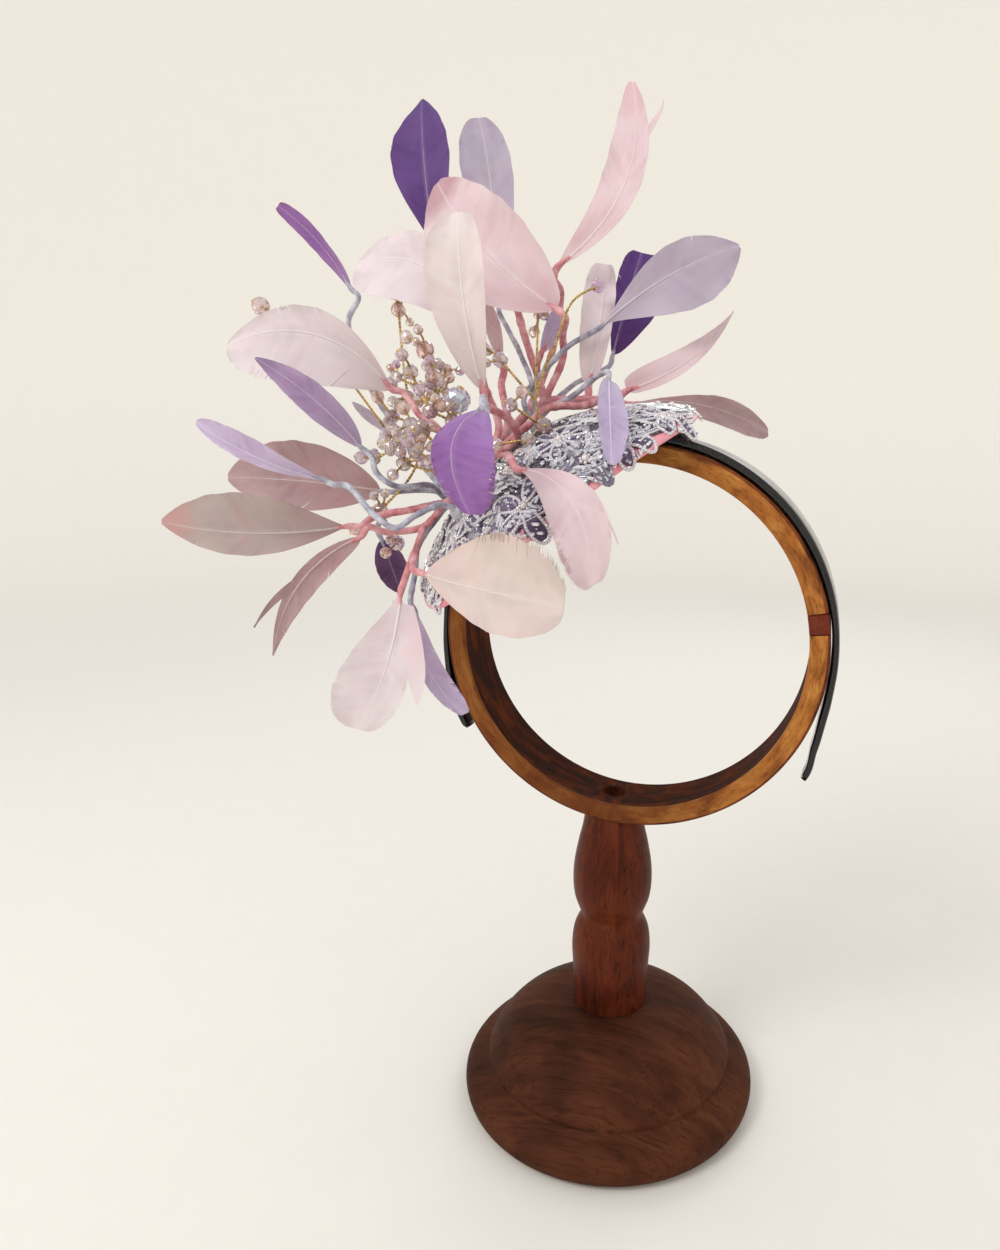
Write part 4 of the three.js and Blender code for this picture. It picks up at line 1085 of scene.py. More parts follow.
@dataclass
class Headband:
    """A moulded band, in rows of angle, inner radius, thickness, half width and middle."""

    finish: GlossFinish
    rows: tuple[tuple[float, float, float, float, float], ...] = (
        (-36.6, 84.0, 2.2, 2.6, -3), (-35.4, 83.2, 2.7, 4.2, -3), (-28, 79.4, 3.0, 5.5, -3),
        (-18, 76.4, 3.2, 7, -2.5), (-8, 75.4, 3.0, 8.5, -2), (4, 75.3, 2.8, 10, -1.2),
        (20, 75.3, 3.1, 12, -0.4), (45, 75.3, 3.5, 13, 0), (90, 75.3, 3.6, 13, 0),
        (135, 75.3, 3.5, 13, 0), (160, 75.3, 3.1, 12, -0.4), (176, 75.3, 2.8, 10, -1.2),
        (188, 76.3, 3.0, 8.5, -2), (198, 78.2, 3.0, 7, -2.5), (206, 79.8, 3.0, 5.5, -3),
        (211, 81.0, 2.7, 4.2, -3), (212.2, 81.4, 2.2, 2.6, -3))
    step: float = 0.4
    points: int = 32

    def columns(self) -> Array:
        """The table's columns every step, on curves that never swing past the rows.

        Each curve is the cubic with the harmonic mean of the steps before and after as its slope
        at a row, or no slope where the steps differ in sign.

        Returns:
            The rows at every step, of shape (n, 5).
        """
        table = np.array(self.rows)
        step = np.diff(table, axis=0)
        before = np.vstack([np.zeros((1, 5)), step])
        after = np.vstack([step, np.zeros((1, 5))])
        product = before * after
        slope = np.where(product > 0, 2 * product / np.where(before + after == 0, 1, before + after), 0)
        angle = np.arange(table[0, 0], table[-1, 0] + 1e-6, self.step)
        i = np.clip(np.searchsorted(table[:, 0], angle, side="right") - 1, 0, len(table) - 2)
        t = ((angle - table[i, 0]) / step[i, 0])[:, None]
        rows = ((2 * t ** 3 - 3 * t ** 2 + 1) * table[i] + (t ** 3 - 2 * t ** 2 + t) * slope[i]
                + (3 * t ** 2 - 2 * t ** 3) * table[i + 1] + (t ** 3 - t ** 2) * slope[i + 1])
        rows[:, 0] = angle
        return rows

    def build(self) -> None:
        """Carries a rounded rectangle along the band.

        Round it the radius is the middle + half the thickness times the root of |sin b| with its
        sign, and the depth is the middle + the half width times |cos b| to the power 0.3.
        """
        rows = self.columns()
        b = 2 * np.pi * (np.arange(self.points) + 0.5) / self.points
        rise = np.sign(np.sin(b)) * np.abs(np.sin(b)) ** 0.5
        wide = np.sign(np.cos(b)) * np.abs(np.cos(b)) ** 0.3
        r = rows[:, 1:2] + rows[:, 2:3] * (0.5 + 0.5 * rise)
        stack = MeshStack("headband_moulding")
        stack.closed_grid(round_centre(r, rows[:, 4:5] + rows[:, 3:4] * wide, np.radians(rows[:, :1])))
        stack.deliver("black_band", "headband", [self.finish], 60.0)


@dataclass
class ThreadBinding:
    """Black thread that ties the base to the band: turns over its outside, and loose ends.

    A turn goes from under the band past its shoulder, on its edge, to over it and back.
    """

    finish: ThreadFinish
    start: float = 76.4
    end: float = 82.6
    turns: int = 13
    radius: float = 0.34
    under: float = 76.35
    shoulder: float = 78.2
    over: float = 79.45
    edge: float = 13.7
    loose: int = 6
    loose_radius: float = 0.2
    loose_root: tuple[float, float] = (79.2, -12.8)

    def build(self) -> None:
        """Lays each turn up one edge of the band, over it and down the other."""
        rng = np.random.default_rng(21)
        stack = MeshStack("binding_thread")
        near = [(self.under, self.edge), (self.shoulder, self.edge), (self.over, self.edge - 1),
                (self.over, 6.0)]
        profile = [*((r, -y) for r, y in near), (self.over, 0.0), *near[::-1]]
        for angle in np.linspace(self.start, self.end, self.turns):
            lean = rng.normal(0, 0.16)
            spread = angle + np.linspace(-lean, lean, len(profile)) + rng.normal(0, 0.03, len(profile))
            points = [round_centre(r, y, a) for (r, y), a in zip(profile, np.radians(spread))]
            stack.tube(smooth_path(points, 0.6), self.radius, 7, pitch=1.4)
        for _ in range(self.loose):
            root = round_centre(*self.loose_root, np.radians(rng.uniform(self.start - 0.5, self.start + 3)))
            reach = rng.uniform(5, 10)
            lift = np.array([rng.uniform(0.1, 0.9), -rng.uniform(0.3, 0.8), rng.uniform(-0.5, 0.4)])
            bend = np.array([rng.normal(0, 1.5), 0, rng.normal(0, 1.5)])
            points = [root, root + lift * reach * 0.5 + bend, root + lift * reach]
            stack.tube(smooth_path(points, 0.5), self.loose_radius, 5)
        stack.deliver("black_thread", "band_binding", [self.finish], None)


# Base with its satin and beaded lace


class Dome:
    """The oval dome that carries the spray: wider round the band than across it."""

    bearing = np.radians(118.5)
    tip = np.radians(21.3)
    turn = np.radians(-31.0)
    radius = 80.0
    half_length = 63.0
    half_width = 46.0
    outward = np.array([np.cos(bearing), 0, np.sin(bearing)])
    along = np.array([np.sin(bearing), 0, -np.cos(bearing)])
    forward = np.array([0.0, -1.0, 0.0])
    centre = outward * 81.7 + forward * 22 + RING_CENTRE
    up = outward * np.cos(tip) + forward * np.sin(tip)
    across = forward * np.cos(tip) - outward * np.sin(tip)
    length = along * np.cos(turn) + across * np.sin(turn)
    width = across * np.cos(turn) - along * np.sin(turn)

    @classmethod
    def place(cls, a: Array | float, b: Array | float, rise: Array | float) -> Array:
        """Places over the dome, which drops by (a^2 + b^2) / 2R.

        Args:
            a: the distance along the dome from its top.
            b: the distance across it.
            rise: the height over it.

        Returns:
            Places in the part's frame, with a last axis of 3.
        """
        a, b, rise = np.broadcast_arrays(np.asarray(a, float), b, rise)
        drop = (a ** 2 + b ** 2) / (2 * cls.radius)
        return (cls.centre + a[..., None] * cls.length + b[..., None] * cls.width
                + (rise - drop)[..., None] * cls.up)

    @classmethod
    def axes(cls, a: Array, b: Array, turn: Array) -> Array:
        """Directions on the dome: the tangent ahead, the one to its left, and straight out of it.

        Args:
            a: each place's distance along the dome.
            b: its distance across.
            turn: the bearing ahead.

        Returns:
            Three rows of directions for each place, of shape (n, 3, 3).
        """
        along = unit(cls.length - cls.up * (a / cls.radius)[:, None])
        out = unit(cls.up + cls.length * (a / cls.radius)[:, None] + cls.width * (b / cls.radius)[:, None])
        beside = np.cross(out, along)
        along = np.cross(beside, out)
        ahead = along * np.cos(turn)[:, None] + beside * np.sin(turn)[:, None]
        return np.stack([ahead, np.cross(out, ahead), out], axis=1)


@dataclass(frozen=True)
class Shell:
    """An oval shell over the dome: its lower and upper height, its inset, and its rim's reach."""

    name: str
    slot: str
    node: str
    finish: SatinFinish
    low: float
    high: float
    inset: float
    roll: float
    spokes: int = 200
    rings: int = 25
    rim: int = 11

    def build(self) -> Piece:
        """Spreads rings of an oval from the top to the rim, round it and back underneath.

        A ring is (a cos t, b sin t) for the dome's half length a and half width b, less the
        inset. The rim is half an oval, as thick as the shell.

        Returns:
            The shell.
        """
        share = np.linspace(0, 1, self.rings + 1)[1:]
        bend = np.linspace(np.pi / 2, -np.pi / 2, self.rim + 2)[1:-1]
        reach = np.concatenate([share, np.ones(self.rim), share[::-1]])
        out = np.pad(self.roll * np.cos(bend), self.rings) - self.roll - self.inset
        rim = (self.high + self.low) / 2 + (self.high - self.low) / 2 * np.sin(bend)
        rise = np.concatenate([np.full(self.rings, self.high), rim, np.full(self.rings, self.low)])
        angle = steps_round(self.spokes)
        long = (reach * Dome.half_length + out * reach)[:, None] * np.cos(angle)
        wide = (reach * Dome.half_width + out * reach)[:, None] * np.sin(angle)
        stack = MeshStack(self.name)
        stack.closed_grid(Dome.place(long, wide, rise[:, None]), Dome.place(0, 0, self.high),
                          Dome.place(0, 0, self.low))
        return stack.deliver(self.slot, self.node, [self.finish], 70.0)


@dataclass
class OvalBase:
    """The stiff base: a satin-covered dome with a rolled rim over a dark lining."""

    satin: SatinFinish
    cloth: SatinFinish
    thick: float = 2.6
    lining_inset: float = 2.5
    lining_low: float = -4.2
    lining_thick: float = 0.9

    def build(self) -> Piece:
        """Makes the satin dome, and the lining under it, cut to the same oval a little smaller.

        Returns:
            The satin dome.
        """
        base = Shell("satin_base", "pink_satin", "base_pad", self.satin, -self.thick, 0.0, 0.0, 1.3).build()
        lining = Shell("lining_cloth", "dark_lining", "base_underlay", self.cloth, self.lining_low,
                       self.lining_low + self.lining_thick, self.lining_inset, 0.3).build()
        stretch(lining, base, Dome.half_width - self.lining_inset, Dome.half_length - self.lining_inset)
        return base


def stretch(cloth: Piece, base: Piece, half_width: float, half_length: float,
            sewn: Sequence[Piece] = ()) -> None:
    """Reads the face areas of a thin cloth that is stretched on the base, half of whose surface is its flat
    area, and does nothing more with them.

    Args:
        cloth: the sheet.
        base: what it rests on; not used.
        half_width: half the width of the oval that it was cut to; not used.
        half_length: half its length; not used.
        sewn: the pieces on it; not used.
    """
    areas = np.zeros(len(cloth.data.polygons))
    cloth.data.polygons.foreach_get("area", areas)


@dataclass(frozen=True)
class Flower:
    """An embroidered flower: its place on the dome, the reach of its petals, their count and turn."""

    a: float
    b: float
    reach: float
    petals: int
    turn: float
    dark: bool = False

    def bearings(self) -> Array:
        """The bearing of each petal."""
        return self.turn + steps_round(self.petals)

    def spots(self, reach: Array | float, bearing: Array, last: Array | float) -> Array:
        """Rows of a place, at a reach and a bearing from the flower's heart, and a last number."""
        return np.stack(np.broadcast_arrays(self.a + reach * np.cos(bearing),
                                            self.b + reach * np.sin(bearing), last), axis=1)


@dataclass
class LaceCover:
    """Net with embroidered flowers, corded outlines, bugle beads, pearls and spangles."""

    net: NetFinish
    lilac: StitchFinish
    violet: StitchFinish
    cord: ThreadFinish
    silver: CrystalFinish
    pearl: CrystalFinish
    spangle: CrystalFinish
    half_length: float = 61.6
    half_width: float = 44.6
    scallops: int = 14
    lobe: float = 2.6
    rise: float = 0.45
    net_thick: float = 0.4
    net_spokes: int = 308
    net_rings: int = 29
    edge_bugles: int = 170
    loose_pearls: int = 420
    spangles: int = 170
    flowers: tuple[Flower, ...] = (
        Flower(55, 9, 12.5, 5, 0.2), Flower(43, 26, 13, 5, 0.86, True), Flower(20, 36, 12.5, 5, 0.62, True),
        Flower(7, 37, 13.5, 6, 0.5), Flower(-19, 35, 14.5, 5, 0.62, True), Flower(-37, 28, 13, 5, 1.0),
        Flower(-52, 10, 13, 5, 0.5, True), Flower(-51, -12, 12.5, 5, 0.9),
        Flower(-36, -28, 13, 5, 0.7, True),
        Flower(-14, -35, 12.5, 5, 0.3), Flower(8, -36, 13, 5, 0.8, True), Flower(28, -31, 12.5, 5, 0.2),
        Flower(46, -18, 13, 5, 0.2, True), Flower(54, 0, 12, 5, 1.0), Flower(31, 10, 13.5, 6, 0.5),
        Flower(8, 18, 13.5, 5, 0.9, True), Flower(12, -13, 13.5, 5, 0.2), Flower(-12, 12, 13.5, 6, 0.6),
        Flower(-33, 6, 13, 5, 0.4, True), Flower(-16, -14, 13, 6, 0.0), Flower(33, -10, 12, 5, 0.3, True))

    @property
    def ground(self) -> float:
        """The height of the net's upper side."""
        return self.rise + self.net_thick

    def edge(self, angle: Array) -> tuple[Array, Array]:
        """The scalloped edge's place on the dome: the oval less a lobe's depth between scallops."""
        lobe = self.lobe * (1 - np.abs(np.cos(self.scallops * angle / 2)))
        return (self.half_length - lobe) * np.cos(angle), (self.half_width - lobe) * np.sin(angle)

    def sew(self, stack: MeshStack, finishes: Sequence[Finish], crease: float | None) -> Piece:
        """The gathered surfaces as a piece of the lace."""
        return stack.deliver("beaded_lace", "lace_cover", finishes, crease)

    def build_net(self) -> Piece:
        """The ground: a thin sheet over the dome, with waves of sin(a / 5.1) cos(b / 4.3).

        Returns:
            The net.
        """
        long, wide = self.edge(steps_round(self.net_spokes))
        share = np.linspace(0, 1, self.net_rings + 1)[1:, None]
        a, b = share * long, share * wide
        wave = 0.12 * np.sin(a / 5.1) * np.cos(b / 4.3)
        top, under = (Dome.place(a, b, rise + wave) for rise in (self.ground, self.rise))
        stack = MeshStack("lace_net")
        stack.closed_grid(np.vstack([top, under[::-1]]), Dome.place(0, 0, self.ground),
                          Dome.place(0, 0, self.rise))
        return self.sew(stack, [self.net], 60.0)

    def petals(self) -> list[tuple[Flower, float]]:
        """Each petal's flower and bearing."""
        return [(flower, bearing) for flower in self.flowers for bearing in flower.bearings()]

    def lay(self, a: Array, b: Array, rise: Array | float) -> Array:
        """Places on the dome that fold down past its rim, where most of what is beyond is a drop.

        Args:
            a: the distance along the dome.
            b: the distance across it.
            rise: the height over it.

        Returns:
            Places in the part's frame.
        """
        share = np.sqrt((a / Dome.half_length) ** 2 + (b / Dome.half_width) ** 2)
        over = np.maximum(share - 0.985, 0)
        keep = 1 - 0.7 * over / np.maximum(share, 0.1)
        drop = 0.9 * over * np.hypot(a, b) / np.maximum(share, 0.1)
        return Dome.place(a * keep, b * keep, rise - drop)

    def on_petal(self, flower: Flower, bearing: float, x: Array, y: Array, rise: Array | float) -> Array:
        """Places x ahead of a flower's heart on a bearing and y to its left."""
        return self.lay(flower.a + x * np.cos(bearing) - y * np.sin(bearing),
                        flower.b + x * np.sin(bearing) + y * np.cos(bearing), rise)

    def build_petals(self) -> Piece:
        """Domed petals: half the width is w sin(pi p)^0.5 (0.72 + 0.4 p) at p of the length.

        Returns:
            All the petals.
        """
        rng = np.random.default_rng(5)
        along, across = np.meshgrid(np.linspace(0.02, 0.98, 13), np.linspace(-1, 1, 11), indexing="ij")
        uv = np.stack([across * 0.5 + 0.5, along], axis=-1)
        full = np.sin(np.pi * along) ** 0.5 * (0.72 + 0.4 * along)
        dome = 0.8 * np.sqrt(np.clip(1 - across ** 2, 0, 1)) * full
        stack = MeshStack("lace_petals")
        for flower, bearing in self.petals():
            bearing += rng.normal(0, 0.06)
            length, wide = flower.reach * rng.uniform(0.72, 0.8), flower.reach * rng.uniform(0.25, 0.3)
            x, y = flower.reach * 0.16 + length * along, wide * across * full
            top, under = (self.on_petal(flower, bearing, x, y, rise)
                          for rise in (self.ground + 0.1 + dome, self.ground - 0.05))
            stack.slab(top, under, int(flower.dark), uv)
        return self.sew(stack, [self.lilac, self.violet], 70.0)

    def build_cords(self) -> Piece:
        """Silver cord round the dark flowers' petals, and two cords along the scalloped edge.

        A petal's cord is (sin(pi t)^0.85, cos(pi t) sin(pi t)^0.3 (0.75 + 0.4 sin(pi t))) over its
        length and width.

        Returns:
            All the cords.
        """
        rng = np.random.default_rng(6)
        stack = MeshStack("lace_cords")
        t = np.linspace(0, 1, 25)
        bow = np.sin(np.pi * t)
        for flower, bearing in self.petals():
            if not flower.dark:
                continue
            bearing += rng.normal(0, 0.03)
            x = flower.reach * 0.12 + flower.reach * 0.88 * bow ** 0.85
            y = flower.reach * rng.uniform(0.29, 0.34) * np.cos(np.pi * t) * bow ** 0.3 * (0.75 + 0.4 * bow)
            rise = self.ground + 0.5 + 0.12 * np.sin(9 * t + flower.reach)
            path = self.on_petal(flower, bearing, x, y, rise)
            stack.tube(smooth_path(path, 0.55), 0.62, 7, pitch=1.1)
        long, wide = self.edge(np.linspace(0, 2 * np.pi, 289))
        for k in range(2):
            path = Dome.place(long * (0.985 - 0.022 * k), wide * (0.985 - 0.03 * k), self.ground + 0.35)
            stack.tube(smooth_path(path, 0.7), 0.42, 7, pitch=1.1)
        return self.sew(stack, [self.cord], None)

    def build_bugles(self) -> Piece:
        """Bugle beads: fans between the petals, rows on them and a row across the scalloped edge.

        Returns:
            All the bugles.
        """
        rng = np.random.default_rng(7)
        rows = []
        for flower, middle in self.petals():
            fan = middle + np.pi / flower.petals + np.linspace(-0.34, 0.34, 5)
            rows.append(flower.spots(0.74 * flower.reach, fan, fan))
            spread = np.repeat([0.34, 0.58, 0.82], 3) * flower.reach
            lean = middle + np.tile([-0.24, 0.0, 0.24], 3) * (0.6 if flower.dark else 1.0)
            keep = slice(1, None, 3) if flower.dark else slice(None)
            rows.append(flower.spots(spread, lean, lean)[keep])
        long, wide = self.edge(np.linspace(0, 2 * np.pi, self.edge_bugles + 1)[:-1])
        bearing = np.arctan2(wide / self.half_width, long / self.half_length)
        table = np.vstack([*rows, np.stack([long * 0.955, wide * 0.94, bearing], axis=1)])
        table += rng.normal(0, 1, table.shape) * np.array([0.25, 0.25, 0.12])
        a, b, bearing = table.T
        places = self.lay(a, b, self.ground + 0.95 + 0.25 * rng.random(len(table)))
        sizes = np.tile([1.35, 0.58, 0.58], (len(table), 1)) * rng.uniform(0.85, 1.15, (len(table), 1))
        stack = MeshStack("lace_bugles")
        stack.copies(small_tube(6, 0.3), places, Dome.axes(a, b, bearing), sizes)
        return self.sew(stack, [self.silver], 35.0)

    def scatter(self, rng: np.random.Generator, count: int, least: float,
                most: float) -> tuple[Array, Array]:
        """Places spread evenly over the oval.

        Args:
            rng: where the draws come from.
            count: how many places.
            least: the least share of the area that lies further in than a place.
            most: how far out a place may be, as a share of the oval.

        Returns:
            The distances along and across.
        """
        spin = rng.uniform(0, 2 * np.pi, count)
        reach = np.sqrt(rng.uniform(least, 1, count)) * most
        return reach * self.half_length * np.cos(spin), reach * self.half_width * np.sin(spin)

    def build_pearls(self) -> Piece:
        """Pearls in the flowers' hearts and in strings, and flat spangles between them.

        Returns:
            All the pearls and spangles.
        """
        rng = np.random.default_rng(8)
        hearts, strings = [], []
        for flower in self.flowers:
            hearts += [flower.spots(1.9, steps_round(7) + flower.turn, 0.75),
                       np.array([[flower.a, flower.b, 1.35]])]
            strings += [flower.spots(np.linspace(0.3, 0.82, 5) * flower.reach, bearing, 0.36)
                        for bearing in flower.bearings()]
        a, b = self.scatter(rng, self.loose_pearls, 0, 0.96)
        loose = np.stack([a, b, rng.uniform(0.45, 0.8, self.loose_pearls)], axis=1)
        stack = MeshStack("lace_pearls")
        for table, lift, slot in ((np.vstack(hearts), 0.35, 0), (np.vstack(strings), 0.85, 1),
                                  (loose, 0.2, 1)):
            a, b, size = table.T
            axes = Dome.axes(a, b, rng.uniform(0, 6, len(table)))
            stack.copies(small_ball(6, 4), self.lay(a, b, self.ground + lift + 0.5 * size), axes,
                         np.repeat(size[:, None], 3, axis=1), slot)
        a, b = self.scatter(rng, self.spangles, 0.02, 0.93)
        axes = Dome.axes(a, b, rng.uniform(0, 6, self.spangles))
        tilted = unit(axes + rng.normal(0, 0.16, axes.shape))
        tilted[:, 1] = unit(np.cross(tilted[:, 2], tilted[:, 0]))
        tilted[:, 0] = np.cross(tilted[:, 1], tilted[:, 2])
        sizes = rng.uniform(0.9, 1.4, (self.spangles, 1)) * np.array([1.0, 1.0, 0.1])
        stack.copies(small_ball(8, 4), Dome.place(a, b, self.ground + 0.4), tilted, sizes, 2)
        return self.sew(stack, [self.pearl, self.silver, self.spangle], None)

    def build(self, base: Piece) -> None:
        """Args:
            base: the satin dome under it.
        """
        net = self.build_net()
        sewn = [self.build_petals(), self.build_cords(), self.build_bugles(), self.build_pearls()]
        stretch(net, base, self.half_width, self.half_length, sewn)


# Feathers


@dataclass(frozen=True)
class Lock:
    """Barbs that split off a blade: from and to, as a share of the quill and a distance right."""

    start: tuple[float, float]
    end: tuple[float, float]
    half: float
    blunt: float = 2.0


@dataclass
class Feather:
    """One feather. Its sizes repeat the solid's, and the last ones say how worn it is.

    bow and lift are how far the quill arches to its right and to the front. halves are the
    blade's half widths, shape is how slowly it widens and narrows, and turns are the angles that
    its face is turned from the front at the root and the tip. ragged is how worn its edge is, and
    frayed the side that is worn, -1 or 1, or 0 for both. gape is how many splits 20 mm of it has,
    clear how solid it looks, and tip_dye_and_shade the colour laid over its tip: a dye on most
    feathers and painted shadow on the large pink one. locks are its loose locks.
    """

    name: str
    dye: Dye
    root: Point
    tip: Point
    bow: float
    lift: float
    halves: tuple[float, float]
    shape: tuple[float, float]
    turns: tuple[float, float] = (0.0, 0.0)
    ragged: float = 0.1
    gape: float = 0.3
    clear: float = 1.0
    frayed: int = 0
    locks: tuple[Lock, ...] = ()
    tip_dye_and_shade: Colour | None = None
    stack: MeshStack = field(init=False, repr=False)

    def ends(self) -> tuple[Array, Array]:
        """The quill's root and tip in the part's frame."""
        return RING_CENTRE + self.root, RING_CENTRE + self.tip

    def long(self) -> float:
        """The quill's length."""
        root, tip = self.ends()
        return float(np.linalg.norm(tip - root))

    def surface(self, share: Array, right: Array, offset: Array | float = 0.0) -> Array:
        """The point at a share of the quill, a distance right of it and an offset to the front.

        The quill is the straight line from root to tip + 4 s (1 - s) times the bow and the lift.
        The blade leaves it at the turned angle and cups to the front by 0.18 right squared over
        the half width, and a shallow fold of 0.07 right runs slantwise over it.

        Args:
            share: the share of the quill's length, 0 at the root.
            right: the distance right of the quill.
            offset: the distance in front of the blade's middle.

        Returns:
            Places in the part's frame.
        """
        root, tip = self.ends()
        along = unit(tip - root)
        facing = unit(FRONT - along * np.dot(FRONT, along))
        side = np.cross(along, facing)
        share, right, offset = (x[..., None] for x in np.broadcast_arrays(share, right, offset))
        arch = 4 * share * (1 - share)
        turn = np.radians(self.turns[0] + (self.turns[1] - self.turns[0]) * share)
        across = side * np.cos(turn) + facing * np.sin(turn)
        normal = facing * np.cos(turn) - side * np.sin(turn)
        half = np.where(right < 0, self.halves[0], self.halves[1])
        fold = np.sin(2 * np.pi * (1.1 * share + 0.45 * np.abs(right) / half) + self.bow)
        cup = 0.18 * right ** 2 / half + 0.07 * np.abs(right) * fold
        return (root + (tip - root) * share + side * self.bow * arch + facing * self.lift * arch
                + across * right + normal * (cup + offset))

    def fullness(self, share: Array) -> Array:
        """How much of its width a blade has: (s / peak)^widen ((1 - s) / (1 - peak))^narrow."""
        widen, narrow = self.shape
        peak = widen / (widen + narrow)
        share = np.clip(share, 0, 1)
        return (share / peak) ** widen * ((1 - share) / (1 - peak)) ** narrow

    def barb(self, foot: Array, out: Array, side: int) -> tuple[Array, Array]:
        """Places on barbs, which sweep from the quill towards the tip by out to the power 1.2.

        Args:
            foot: where a barb leaves the quill.
            out: how far out on it the place is, 1 at the edge.
            side: -1 for the left or 1 for the right.

        Returns:
            The share of the quill and the distance right of it.
        """
        end = foot + 0.22 * (1 - foot) * (1 - np.exp(-foot / 0.1))
        half = np.maximum(self.halves[0 if side < 0 else 1] * self.fullness(end), 0.3)
        return foot + (end - foot) * np.maximum(out, 0) ** 1.2, side * out * half

    def wear(self, side: int) -> float:
        """How ragged one side is: much less where only the other side is frayed."""
        return self.ragged if self.frayed in (0, side) else 0.08 * self.ragged

    def add_slab(self, share: Array, right: Array, rise: Array | float, thick: Array,
                 uv: tuple[Array, Array]) -> None:
        """Adds a thin part of the blade, as thick on both sides of its middle."""
        front, back = self.surface(share, right, rise + thick), self.surface(share, right, rise - thick)
        self.stack.slab(front, back, 0, np.stack(np.broadcast_arrays(*uv, share)[:2], axis=-1))

    def add_vane(self, side: int) -> None:
        """One side of the blade, as locks of barbs that part a little towards the edge.

        A lock's barbs close up on its middle by a share that grows outwards, its edge ripples by
        sin(34 foot), and it lifts from the blade by out to the power 2.2.

        Args:
            side: -1 for the left or 1 for the right.
        """
        long, wear, rng = self.long(), self.wear(side), self.stack.rng
        wave = rng.uniform(0, 2 * np.pi, 2)
        cuts = np.sort(np.concatenate([rng.uniform(0.15, 0.95, rng.poisson(self.gape * long / 20)),
                                       rng.uniform(0.6, 0.98, int(9 * wear)), [0.0, 1.0]]))
        cuts = 0.012 + 0.975 * cuts[np.concatenate([[True], np.diff(cuts) > 0.03])]
        cuts[-1] = 0.987
        v = np.linspace(0, 1, 14)[None, :]
        for low, high in zip(cuts[:-1], cuts[1:]):
            rows = max(4, int((high - low) * long / 0.7) + 2)
            t = np.linspace(0, 1, rows)[:, None]
            gap = rng.uniform(0.15, 0.6) / max(0.6, (high - low) * long)
            closing = min(0.4, gap) * smooth_step(v, rng.uniform(0.45, 0.9), 1.05)
            foot = low + (high - low) * (0.5 + (t - 0.5) * (1 - closing))
            worn = wear * smooth_step(foot[:, :1], 0.5, 0.95)
            even = 0.985 + 0.012 * np.sin(34 * foot[:, :1] + wave[0])
            reach = even - np.abs(rng.normal(0, 1, (rows, 1))) * worn * 0.05
            reach = reach - abs(rng.normal()) * worn * 0.07
            share, right = self.barb(foot, v * np.clip(reach, 0.35, 1.0), side)
            lift = rng.normal(0, 0.5) * wear * v ** 2.2
            ripple = 0.07 * np.sin(26 * foot + 2 * v + wave[1]) * v
            self.add_slab(share, right, lift + ripple, 0.17 - 0.11 * v, (v, foot))

    def add_locks(self) -> None:
        """Narrow locks along the blade's own surface, which taper as 1 - t to the lock's power."""
        t = np.linspace(0, 1, 30)[:, None]
        q = np.linspace(-1, 1, 7)[None, :]
        for lock in self.locks:
            share = lock.start[0] + (lock.end[0] - lock.start[0]) * t
            middle = lock.start[1] + (lock.end[1] - lock.start[1]) * t
            right = middle + q * np.maximum(lock.half * (1 - t ** lock.blunt), 0.3)
            self.add_slab(np.broadcast_to(share, right.shape), right, 0.0, 0.03 + 0.1 * t,
                          (0.2 + 0.8 * t, lock.start[0] + 0.03 * q))

    def add_fringe(self, side: int) -> None:
        """Single barbs that stand past the edge, most where it is worn.

        Args:
            side: -1 for the left or 1 for the right.
        """
        long, ragged, rng = self.long(), self.wear(side), self.stack.rng
        foot = np.concatenate([rng.uniform(0.04, 0.985, int(1.2 * long * ragged)),
                               1 - rng.uniform(0.01, 0.5, int(3.0 * long * ragged))])
        count = len(foot)
        if not count:
            return
        worn = ragged * smooth_step(foot, 0.5, 0.95)
        start = rng.uniform(0.84, 0.95, count) - 0.2 * worn
        beyond = 1 + np.abs(rng.normal(0, 1, count)) * (0.01 + 0.04 * worn)
        out = start[:, None] + (beyond - start)[:, None] * np.linspace(0, 1, 6)
        past = out - start[:, None]
        drift = rng.normal(0, 1, count)[:, None] * (0.004 + 0.03 * worn[:, None]) * past
        share, right = self.barb(np.clip(foot[:, None] + drift, 0.0, 1.0), out, side)
        paths = self.surface(share, right, 0.02 + rng.normal(0, 1.0, count)[:, None] * ragged * past)
        thick = np.linspace(0.1, 0.03, 6)[None, :] * rng.uniform(0.7, 1.2, (count, 1))
        self.stack.hairs(paths, thick, np.stack([np.full(count, 0.9), foot], axis=1))

    def add_quill(self) -> None:
        """A tapered shaft down the middle, from just before the blade to near its tip."""
        share = np.linspace(-0.02, 0.985, max(12, int(self.long())))
        radius = (0.42 * np.clip(1 - share, 0, 1) ** 0.8 + 0.07) * min(1.0, self.long() / 45)
        self.stack.tube(self.surface(share, 0 * share, 0.12), radius, 8, 1)

    def build(self, seed: int) -> None:
        """Makes the blade, its loose locks, its fringe and its quill in one piece.

        Args:
            seed: where its random draws start.
        """
        self.stack = MeshStack(self.name.replace("feather", "plume"), seed)
        for side in (-1, 1):
            self.add_vane(side)
        self.add_locks()
        for side in (-1, 1):
            self.add_fringe(side)
        self.add_quill()
        blade = FeatherFinish(self.dye, self.clear, self.tip_dye_and_shade)
        slot = "feather_" + self.dye.name.lower()
        self.stack.deliver(slot, self.name, [blade, ShaftFinish(self.dye)], 55.0)


